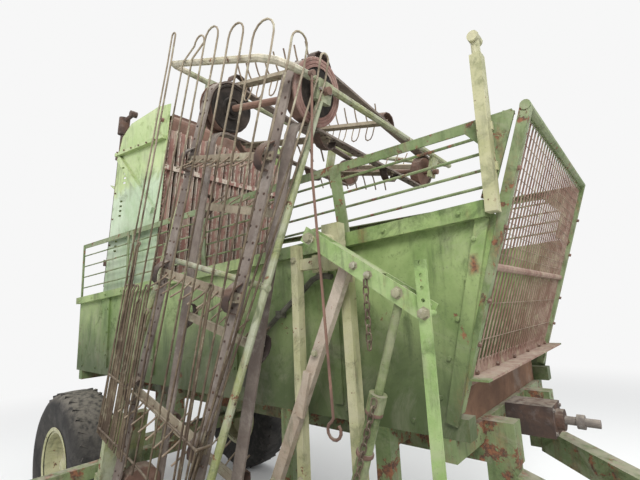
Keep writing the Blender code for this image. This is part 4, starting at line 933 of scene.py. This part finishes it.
class HARVESTER_OT_wall_bolts(bpy.types.Operator):
    """Bolts along the walls' top flanges, sills, ribs and front edges"""
    bl_idname = "harvester.wall_bolts"
    bl_label = "Wall bolts"

    def execute(self, context):
        fit = context.scene.harvester_fit
        flange = [(x, flange_z(x) - 0.030) for x in (lerp(-2.08, 1.72, k / 12) for k in range(13))]
        spots = [(lerp(-2.02, 1.45, k / 11), 1.066) for k in range(12)] + RIB_SPOTS
        spots += [(front_x(z) - 0.055, z) for z in (1.16, 1.30, 1.44, 1.58, 1.72)]
        for tag, y, s, rows in (("near", -0.60, 1, flange + spots), ("far", 1.50, -1, spots)):
            lines = [(on_machine(x, y, z), (0, s, 0)) for x, z in rows]
            fasten("wall_" + tag, lines, fit.bolt, 0.008, "wall_bolts_" + tag, "frame", "wall_green")
        return {"FINISHED"}


class HARVESTER_OT_grille(bpy.types.Operator):
    """Fine wires across the front grille, and the bolts of its bars"""
    bl_idname = "harvester.grille"
    bl_label = "Grille wires"

    def execute(self, context):
        fit = context.scene.harvester_fit
        left, right = GRILLE_Y
        places = []
        for z in WIRE_HEIGHTS:
            x = front_x(z) + GRILLE_ROD_FACE + fit.cross_wire / 2
            places.append(standing(on_machine(x, (left + right) / 2, z), (0, 1, 0)))
        settle()
        bpy.ops.mesh.primitive_cylinder_add(vertices=5, radius=fit.cross_wire / 2, depth=right - left,
                                            end_fill_type="NGON")
        wire = bpy.context.object
        pick_faces(wire, lambda middle, normal: abs(normal.z) > 0.9)
        bpy.ops.mesh.inset(thickness=fit.cross_wire * 0.12, depth=fit.cross_wire * 0.2)
        done()
        repeat(wire, places, "grille_cross_wires", "frame", "rod_rust", 60)
        lines = [(on_machine(BUNKER_AHEAD, y, z), -X) for y, z in GRILLE_SPOTS]
        fasten("front_grille", lines, fit.bolt, 0.009, "grille_bolts", "frame", "brown_rust")
        return {"FINISHED"}


# Unloading elevator

PLATE_SPOTS = ([(-0.44, z) for z in (0.25, 0.50, 0.75, 1.00, 1.25, 1.50)]
               + [(0.43, z) for z in (0.20, 0.45, 0.70)]
               + [(x, 1.885) for x in (-0.40, -0.25, -0.10, 0.05, 0.20, 0.35)])
CHAIN_PITCH, CHAIN_TOP = 0.03175, (0.470, -0.6130, 2.02)
PLATE_HALVES = (0.0042, 0.0064)         # the narrow and the wide pair of link plates, from the middle


def chain_link():
    """Two links of a roller chain: a narrow and a wide pair of plates on their rollers, along X."""
    parts = []
    for k, half in enumerate(PLATE_HALVES):
        for side in (-1, 1):
            settle()
            bpy.ops.mesh.primitive_cube_add(size=1, location=((k + 0.5) * CHAIN_PITCH, side * half, 0))
            plate = bpy.context.object
            plate.scale = (CHAIN_PITCH + 0.014, 0.0018, 0.015)
            bpy.ops.object.transform_apply(location=True, scale=True)
            pick_faces(plate, lambda middle, normal: abs(normal.x) > 0.9)
            bpy.ops.transform.resize(value=(1, 1, 0.55))
            done()
            parts.append(plate)
        settle()
        bpy.ops.mesh.primitive_cylinder_add(vertices=8, radius=0.0062, depth=0.016,
                                            location=(k * CHAIN_PITCH, 0, 0), rotation=(math.pi / 2, 0, 0))
        roller = bpy.context.object
        pick_faces(roller, lambda middle, normal: abs(normal.z) > 0.9)
        bpy.ops.mesh.inset(thickness=0.0025, depth=-0.001)
        done()
        parts.append(set_down(roller))
    return merged(parts)


class HARVESTER_OT_unloader_bolts(bpy.types.Operator):
    """Bolts round the edges of the unloading elevator's side plates"""
    bl_idname = "harvester.unloader_bolts"
    bl_label = "Unloader bolts"

    def execute(self, context):
        for tag, y, s in (("near", -0.90, 1), ("far", 1.20, -1)):
            lines = [(UNL @ Vector((x, y, z)), (0, s, 0)) for x, z in PLATE_SPOTS]
            fasten("unloader_plate_" + tag, lines, context.scene.harvester_fit.bolt * 0.85, 0.008,
                   "unloader_bolts_" + tag, "frame", "brown_rust")
        return {"FINISHED"}


class HARVESTER_OT_unloader_chain(bpy.types.Operator):
    """The roller chain that runs down the front edge of the near plate"""
    bl_idname = "harvester.unloader_chain"
    bl_label = "Unloader chain"

    def execute(self, context):
        run = UNL @ Matrix.Translation(CHAIN_TOP) @ Matrix.Rotation(math.pi / 2, 4, "Y")
        places = [run @ Matrix.Translation((2 * k * CHAIN_PITCH, 0, 0)) for k in range(20)]
        repeat(chain_link(), places, "unloader_chain", "frame", "brown_rust", 30)
        return {"FINISHED"}


# Finger elevator

WEB_TURNS = ((0.10, 0.0, 0.12), (0.305, 2.17, 0.142), (1.50, 2.08, 0.10))   # along Y, along the lean, radius
WEB_BEND = (0.30, 1.95, 0.08)           # the inside bend, in the same measures
BELT_X, BELT_WIDTH, BELT_HALF, BELT_THICK = 0.33, 0.074, 0.0065, 0.011
WEB_FACE = 0.012                        # the belts' outer face, out from the shafts' drums
STUDS, BARS, BAR_LEVEL = 104, 12, 0.0002        # counts round the loop, and the bars' foot above the belts
HOOK = ((0, 0.004, 0.004), (0, -0.012, 0.016), (0, -0.030, 0.030), (0, -0.052, 0.056), (0, -0.072, 0.084),
        (0, -0.080, 0.094))
HANGER = ((-0.026, 0, 0), (-0.026, 0, -0.060), (-0.018, 0, -0.085), (0, 0, -0.094), (0.018, 0, -0.085),
          (0.026, 0, -0.060), (0.026, 0, 0))
STRAP = ((-0.070, 0.004), (-0.068, 0.030), (-0.052, 0.050), (-0.018, 0.058), (0.018, 0.052), (0.046, 0.030),
         (0.066, 0.004))
ARCH_Y, ARCH_END, TUBE_R, ROD_R = 0.02, 0.415, 0.018, 0.0050    # the arch tube, and the rods' radius
ROD_FOOT, AIR = 0.27, 0.0003            # height of the rods' feet, and the gap left between pieces
LONG_RODS = (   # middle at the arch, half width, height above it, lean of the top, the two feet along X
    (-0.508, 0.020, 0.175, -0.015, (-0.500, -0.430)), (-0.300, 0.046, 0.120, 0.080, (-0.310, -0.220)),
    (-0.100, 0.058, 0.170, -0.010, (-0.130, -0.050)), (0.112, 0.056, 0.165, -0.010, (0.085, 0.150)),
    (0.318, 0.070, 0.160, -0.010, (0.320, 0.365)),
)
END_RODS = (    # middle along Y, half width, height above the arch, the two feet along X
    (0.100, 0.046, 0.135, (0.372, 0.384)), (0.262, 0.026, 0.120, (0.352, 0.372)),
)
SHORT_RODS = (  # middle at the top, half width, height of the top, the two feet along X
    (-0.470, 0.016, 1.090, (-0.480, -0.450)), (-0.395, 0.014, 1.105, (-0.415, -0.385)),
    (-0.355, 0.016, 1.110, (-0.372, -0.340)), (-0.250, 0.016, 1.130, (-0.268, -0.235)),
    (-0.430, 0.012, 1.330, (-0.462, -0.400)), (-0.300, 0.012, 1.050, (-0.328, -0.295)),
    (-0.200, 0.014, 1.020, (-0.205, -0.180)), (0.300, 0.017, 1.240, (0.290, 0.335)),
)
HEAD_RING = (   # out from the wheel's face, radius
    (0.0003, 0.113), (0.0058, 0.113), (0.0062, 0.122), (0.0030, 0.125), (0.0062, 0.128), (0.0062, 0.138),
    (0.0030, 0.141), (0.0062, 0.144), (0.0058, 0.154), (0.0003, 0.1575),
)
HEAD_MIDDLE = ((0.0003, 0.021), (0.0040, 0.021), (0.0040, 0.045), (0.0018, 0.049), (0.0018, 0.112),
               (0.0003, 0.112))
DRUM_HUB = (    # out from the drum's inner side, radius
    (0.0003, 0.020), (0.032, 0.020), (0.034, 0.031), (0.030, 0.036), (0.012, 0.038), (0.012, 0.052),
    (0.020, 0.054), (0.020, 0.062), (0.004, 0.067), (0.004, 0.120), (0.009, 0.124), (0.009, 0.133),
    (0.0003, 0.1365),
)


def turn_arc(centre, r, start, end, n):
    """Points on an arc in the web's plane, from one angle to another in degrees."""
    angles = [math.radians(lerp(start, end, k / (n - 1))) for k in range(n)]
    return [Vector((centre[0] + r * math.cos(a), centre[1] + r * math.sin(a))) for a in angles]


def web_line(grow):
    """The web's loop in the elevator's own plane, moved out by grow."""
    foot, head, tail = WEB_TURNS
    up = math.degrees(math.atan2(head[1] - foot[1], head[0] - foot[0]))
    return (turn_arc(foot, foot[2] + grow, up + 270, up + 90, 9)
            + turn_arc(head, head[2] + grow, up + 90, 87, 9)
            + turn_arc(tail, tail[2] + grow, 87, -90, 9)
            + turn_arc(WEB_BEND, WEB_BEND[2] - grow, 90, 180, 4))


def along_web(count, offset=0.0):
    """Evenly spaced places on the web's outer face, with the outward and the forward way."""
    path = web_line(WEB_FACE)
    sides = list(zip(path, path[1:] + path[:1]))
    total = sum((b - a).length for a, b in sides)
    out = []
    for k in range(count):
        left = (k + offset) * total / count
        for a, b in sides:
            span = (b - a).length
            if left <= span:
                ahead = (b - a) / span
                out.append((a + ahead * left, Vector((-ahead.y, ahead.x)), ahead))
                break
            left -= span
    return out


def on_web(x, spot, lift=0.0, slip=0.0):
    """A place on the web: its Z looks outward and its Y runs along the loop."""
    place, out, ahead = spot
    at = place + out * lift + ahead * slip
    turn = Matrix(((1, 0, 0), (0, ahead.x, ahead.y), (0, out.x, out.y))).transposed().to_4x4()
    return LEAN @ Matrix.Translation((x, at.x, at.y)) @ turn


def arch_z(x):
    """The height of the sloping arch tube along the lean."""
    return lerp(2.353, 2.205, (x + 0.53) / 0.945)


def rod_y(z):
    """How far in front of the web the rods run at a height along the lean."""
    return lerp(-0.095, ARCH_Y - TUBE_R - ROD_R - AIR, z / 2.33)


def hairpin(feet, base, way, top, half, lean=0.0, slack=0.0):
    """A rod from its foot up to base, round a loop that opens along way, and down again, on the elevator."""
    mid = Vector((lean, slack, 0))
    crown = Vector((base.x, base.y, top - half))
    loop = [crown + mid + way * half * math.cos(a) + Vector((0, 0, half * math.sin(a)))
            for a in (math.pi - k * math.pi / 7 for k in range(8))]
    ends = [Vector((x, rod_y(ROD_FOOT), ROD_FOOT)) for x in feet]
    points = [ends[0], base - way * half] + loop + [base + way * half, ends[1]]
    return round_bar([LEAN @ point for point in points], ROD_R)


class HARVESTER_OT_belts(bpy.types.Operator):
    """The two belts of the finger web and its cross bars"""
    bl_idname = "harvester.belts"
    bl_label = "Web belts"

    def execute(self, context):
        line = web_line(BELT_HALF)
        belts = [ribbon(line, BELT_WIDTH, BELT_THICK, LEAN @ Matrix.Translation((x, 0, 0)), True)
                 for x in (-BELT_X, BELT_X)]
        web = finish_piece(merged(belts), "web_belts", "frame", "belt_brown", 40)
        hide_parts("finger_web")
        bars = along_web(BARS, 0.5)
        for name, size, slip in (("web_bars", (0.72, 0.044, 0.007), 0.0),
                                 ("web_bar_lips", (0.70, 0.005, 0.022), -0.020)):
            places = [on_web(0, spot, BAR_LEVEL, slip) for spot in bars]
            repeat(tapered_block(size, (0.995, 0.90)), places, name, "frame", "bar_pale", 30)
        return {"FINISHED"}


class HARVESTER_OT_rivets(bpy.types.Operator):
    """Two rows of studs along each belt, and the rivets of the cross bars"""
    bl_idname = "harvester.rivets"
    bl_label = "Belt studs"

    def execute(self, context):
        places = [on_web(x + dx, spot) for spot in along_web(STUDS) for x in (-BELT_X, BELT_X)
                  for dx in (-0.021, 0.021)]
        places += [on_web(x, spot, 0.0072) for spot in along_web(BARS, 0.5)
                   for x in (-0.345, -0.30, 0.30, 0.345)]
        rivet = dome_rivet(context.scene.harvester_fit.rivet)
        repeat(rivet, places, "web_rivets", "frame", "dark_iron", 35)
        return {"FINISHED"}


class HARVESTER_OT_cage(bpy.types.Operator):
    """The thin guide rods: tall hairpins over the arch and short ones in front of the lower web"""
    bl_idname = "harvester.cage"
    bl_label = "Guide rods"

    def execute(self, context):
        rods = []
        for x, half, height, lean, feet in LONG_RODS:
            base = Vector((x, rod_y(2.33), arch_z(x)))
            rods.append(hairpin(feet, base, X, base.z + height, half, lean, 0.008))
        for x, half, top, feet in SHORT_RODS:
            base = Vector((x, rod_y(top) - 0.014, top - 2.2 * half))
            rods.append(hairpin(feet, base, X, top, half, 0.0, 0.008))
        for y, half, height, feet in END_RODS:
            base = Vector((ARCH_END + TUBE_R + ROD_R + AIR, y, arch_z(ARCH_END)))
            rods.append(hairpin(feet, base, Y, base.z + height, half))
        for z in (0.31, 0.60):
            y = rod_y(z) - ROD_R - 0.0062
            bow = [LEAN @ Vector((x, y + 0.02 * (1 - (x / 0.47) ** 2), z))
                   for x in (-0.47, -0.25, 0.0, 0.22, ARCH_END)]
            rods.append(round_bar(bow, 0.006))
            for x in (-0.46, 0.405):
                rods.append(round_bar([LEAN @ Vector((x, y, z)), LEAN @ Vector((x, -0.015, z))], 0.007))
        cage = finish_piece(merged(rods), "cage_rods", "frame", "cage_fading", 70)
        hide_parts("finger_cage")
        return {"FINISHED"}


class HARVESTER_OT_hooks(bpy.types.Operator):
    """The cross bars' spring fingers, the loops inside the web's upper run and the straps at the bar ends"""
    bl_idname = "harvester.hooks"
    bl_label = "Web hooks"

    def execute(self, context):
        hooks, loops, straps = [], [], []
        for spot in along_web(BARS, 0.5):
            hooks += [on_web(lerp(-0.275, 0.275, k / 7), spot, 0.006, -0.004) for k in range(8)]
            straps += [on_web(side * 0.325, spot) for side in (-1, 1)]
            if spot[1].y > 0.6:
                loops += [on_web(lerp(-0.22, 0.22, k / 4), spot, -0.004) for k in range(5)]
        repeat(round_bar(HOOK, 0.0045), hooks, "web_hooks", "frame", "rod_rust", 70)
        repeat(round_bar(HANGER, 0.0045, 5), loops, "web_loops", "frame", "rod_rust", 70)
        strap = ribbon(STRAP, 0.050, 0.006, Matrix.Identity(4), False)
        repeat(strap, straps, "web_straps", "frame", "dark_iron", 50)
        return {"FINISHED"}


class HARVESTER_OT_head_wheels(bpy.types.Operator):
    """The grooved ring and dark middle of the front head wheel, and the hubs inside both belt drums"""
    bl_idname = "harvester.head_wheels"
    bl_label = "Head wheels"

    def execute(self, context):
        at = LEAN @ Vector((0, *WEB_TURNS[1][:2]))
        ahead = LEAN.to_3x3() @ X
        face = standing(at + ahead * 0.384, ahead)
        finish_piece(spun(HEAD_RING, 56, face), "head_wheel_ring", "elevator_head", "channel_rust", 25)
        finish_piece(spun(HEAD_MIDDLE, 48, face), "head_wheel_middle", "elevator_head", "drum_black", 25)
        hubs = [spun(DRUM_HUB, 48, standing(at - ahead * side * 0.30, ahead * side)) for side in (1, -1)]
        finish_piece(merged(hubs), "head_drum_hubs", "elevator_head", "drum_black", 30)
        return {"FINISHED"}


class HARVESTER_OT_bearings(bpy.types.Operator):
    """Bolts beside the bearings of the finger elevator's shafts"""
    bl_idname = "harvester.bearings"
    bl_label = "Bearing bolts"

    def execute(self, context):
        back = LEAN.to_3x3() @ -X
        lines = [(LEAN @ Vector((ARCH_END + 0.3, y + dy, z)), back)
                 for y, z, _ in WEB_TURNS[1:] for dy in (-0.036, 0.036)]
        fasten("elevator_frame", lines, context.scene.harvester_fit.bolt * 0.8, 0.008, "bearing_bolts",
               "frame", "dull_steel")
        return {"FINISHED"}


# Lifting gear and digging unit

ARM_PIVOT, ARM_PIN, ARM_END = (1.19, -0.42, 1.78), (1.56, -0.42, 1.54), (1.66, -0.42, 1.47)
CYLINDER_FOOT = (1.30, -0.42, 0.80)
BRACE_TOP, BRACE_FOOT, BRACE_FACE = (1.30, 1.66), (0.835, 0.722), -0.3973   # along X and Z, and its side
BAND = ((0.0, 0.0262), (0.0, 0.0302), (0.003, 0.0322), (0.013, 0.0322), (0.016, 0.0302), (0.016, 0.0262))
LINK_PITCH = 0.0268                     # of the safety chain
DIGGER_SPOTS = ((0.66, 0.55), (0.90, 0.46), (1.30, 0.32), (1.55, 0.22), (1.62, 0.40), (1.78, 0.24))
NUTS = (        # name, body, across the flats, height, places
    ("arm_pivot_nut", "frame", 0.040, 0.016, ((ARM_PIVOT[0], -0.4703, ARM_PIVOT[2]),)),
    ("arm_pin_nut", "lift_arm_body", 0.036, 0.014, ((ARM_PIN[0], -0.4475, ARM_PIN[2]),)),
    ("arm_bolts", "lift_arm_body", 0.028, 0.012,
     [(lerp(ARM_PIVOT[0], ARM_END[0], t), -0.4473, lerp(ARM_PIVOT[2], ARM_END[2], t)) for t in (0.42, 0.55)]),
    ("link_nut", "lift_arm_body", 0.034, 0.018, ((ARM_END[0], -0.4663, ARM_END[2]),)),
    ("cylinder_pin_nut", "frame", 0.030, 0.014, ((CYLINDER_FOOT[0], -0.4623, CYLINDER_FOOT[2]),)),
    ("post_bolts", "frame", 0.026, 0.010,
     ((0.985, -0.3503, 0.80), (0.985, -0.3503, 1.72), (1.27, -0.3453, 0.735))),
    ("brace_bolts", "frame", 0.026, 0.010,
     [(lerp(BRACE_TOP[0], BRACE_FOOT[0], t), BRACE_FACE, lerp(BRACE_TOP[1], BRACE_FOOT[1], t))
      for t in (0.36, 0.93)]),
)


def cylinder_line():
    """The middle of the cylinder's foot pin, and the way to its eye on the lift arm."""
    foot = on_machine(*CYLINDER_FOOT)
    return foot, (on_machine(*ARM_PIN) - foot).normalized()


def chain_ring():
    """One long link of a welded chain, along Z."""
    settle()
    bpy.ops.mesh.primitive_torus_add(major_segments=14, minor_segments=6, major_radius=0.0105,
                                     minor_radius=0.0032)
    link = bpy.context.object
    edit()
    bpy.ops.mesh.select_all(action="SELECT")
    bpy.ops.transform.rotate(value=math.pi / 2, orient_axis="Y", center_override=(0, 0, 0))
    bpy.ops.mesh.select_all(action="DESELECT")
    done()
    for vert in link.data.vertices:
        vert.select = vert.co.z > 0.001
    edit()
    bpy.ops.mesh.select_mode(type="VERT")
    bpy.ops.transform.translate(value=(0, 0, 0.012))
    done()
    return link


class HARVESTER_OT_lift_bolts(bpy.types.Operator):
    """Nuts and washers on the pins of the lifting gear, and the cylinder's bands"""
    bl_idname = "harvester.lift_bolts"
    bl_label = "Lifting gear nuts"

    def execute(self, context):
        for name, body, across, height, spots in NUTS:
            places = [standing(on_machine(*spot), -Y, 0.3 * k) for k, spot in enumerate(spots)]
            repeat(hex_bolt(across * 0.84, height), places, name, body, "nut_olive", 30)
        foot, way = cylinder_line()
        bands = [spun(BAND, 24, standing(foot + way * d, way)) for d in (0.350, 0.200)]
        finish_piece(merged(bands), "cylinder_bands", "cylinder", "brown_rust", 40)
        return {"FINISHED"}


class HARVESTER_OT_lift_chain(bpy.types.Operator):
    """The rusty safety chain, from the arm down and from the cylinder's collar to its foot"""
    bl_idname = "harvester.lift_chain"
    bl_label = "Lift chain"

    def execute(self, context):
        hang = [Matrix.Translation(on_machine(1.445, -0.462, 1.575 - LINK_PITCH * k))
                @ Matrix.Rotation(k * math.pi / 2, 4, "Z") for k in range(9)]
        repeat(chain_ring(), hang, "arm_chain", "lift_arm_body", "cage_brown", 60)
        foot, way = cylinder_line()
        start = foot + Vector((0, -0.040, 0)) + way.cross(Y) * -0.012
        run = [Matrix.Translation(start + way * (0.40 - LINK_PITCH * k)) @ facing(way)
               @ Matrix.Rotation(k * math.pi / 2, 4, "Z") for k in range(13)]
        repeat(chain_ring(), run, "cylinder_chain", "cylinder", "cage_brown", 60)
        return {"FINISHED"}


class HARVESTER_OT_shares(bpy.types.Operator):
    """Bolts of the shares and of the digging unit's side plates"""
    bl_idname = "harvester.shares"
    bl_label = "Share bolts"

    def execute(self, context):
        for tag, y, s in (("near", -1.30, 1), ("far", 0.10, -1)):
            lines = [(on_machine(x, y, z), (0, s, 0)) for x, z in ((1.79, 0.115), (1.85, 0.092))]
            fasten("share_" + tag, lines, 0.016, 0.007, "share_bolts_" + tag, "digging_unit", "dull_steel")
        lines = [(on_machine(x, -1.4, z), Y) for x, z in DIGGER_SPOTS]
        fasten("digger_frame", lines, context.scene.harvester_fit.bolt, 0.009, "digger_bolts", "digging_unit",
               "brown_rust")
        return {"FINISHED"}


# Drawbar end

JACK_TOP = (2.75, 0.16, 0.9503)
CRANK = ((0, 0, 0), (0, 0, 0.035), (0.010, -0.008, 0.048), (0.120, -0.015, 0.052), (0.130, -0.015, 0.062),
         (0.131, -0.015, 0.085))
GRIP = (0.131, -0.015, 0.130)


class HARVESTER_OT_jack(bpy.types.Operator):
    """The crank on top of the parking jack"""
    bl_idname = "harvester.jack"
    bl_label = "Jack crank"

    def execute(self, context):
        at = on_machine(*JACK_TOP)
        rod = round_bar([at + Vector(place) for place in CRANK], 0.007, 8)
        settle()
        bpy.ops.mesh.primitive_cylinder_add(vertices=14, radius=0.013, depth=0.09, location=at + Vector(GRIP))
        grip = bpy.context.object
        pick_faces(grip, lambda middle, normal: abs(normal.z) > 0.9)
        bpy.ops.mesh.inset(thickness=0.003, depth=0.003)
        done()
        finish_piece(grip, "jack_grip", "frame", "tyre_rubber", 30)
        finish_piece(rod, "jack_crank", "frame", "dull_steel", 40)
        return {"FINISHED"}


class HARVESTER_OT_gearbox(bpy.types.Operator):
    """The bolts of the gearbox's front cover"""
    bl_idname = "harvester.gearbox"
    bl_label = "Gearbox bolts"

    def execute(self, context):
        face = on_machine(2.2, 0.47, 0.965)
        lines = [(face + Vector((0, dy, dz)), -X) for dy in (-0.062, 0.062) for dz in (-0.048, 0.048)]
        fasten("pto_gearbox", lines, 0.014, 0.006, "gearbox_bolts", "frame", "dull_steel")
        return {"FINISHED"}


# The panel and the run

STEPS = (
    HARVESTER_OT_finishes, HARVESTER_OT_tyres, HARVESTER_OT_wheel_trim, HARVESTER_OT_depth_wheel,
    HARVESTER_OT_wall_bolts, HARVESTER_OT_grille, HARVESTER_OT_unloader_bolts, HARVESTER_OT_unloader_chain,
    HARVESTER_OT_belts, HARVESTER_OT_rivets, HARVESTER_OT_cage, HARVESTER_OT_hooks, HARVESTER_OT_head_wheels,
    HARVESTER_OT_lift_bolts, HARVESTER_OT_lift_chain, HARVESTER_OT_shares, HARVESTER_OT_jack,
    HARVESTER_OT_gearbox, HARVESTER_OT_bearings, HARVESTER_OT_stage,
)


class HARVESTER_PT_panel(bpy.types.Panel):
    """The colours, the sizes and the steps"""
    bl_label = "Beet harvester"
    bl_idname = "HARVESTER_PT_panel"
    bl_space_type = "VIEW_3D"
    bl_region_type = "UI"
    bl_category = "Harvester"

    def draw(self, context):
        for group in (context.scene.harvester_paint, context.scene.harvester_fit):
            for key in group.__annotations__:
                self.layout.prop(group, key)
        for step in STEPS:
            self.layout.operator(step.bl_idname)


CLASSES = (PaintSettings, FitSettings, *STEPS, HARVESTER_PT_panel)


def register():
    for cls in CLASSES:
        bpy.utils.register_class(cls)
    bpy.types.Scene.harvester_paint = bpy.props.PointerProperty(type=PaintSettings)
    bpy.types.Scene.harvester_fit = bpy.props.PointerProperty(type=FitSettings)


def unregister():
    del bpy.types.Scene.harvester_fit
    del bpy.types.Scene.harvester_paint
    for cls in reversed(CLASSES):
        bpy.utils.unregister_class(cls)


def main():
    register()
    for step in STEPS:
        getattr(bpy.ops.harvester, step.bl_idname.split(".")[1])()


if __name__ == "__main__":
    main()
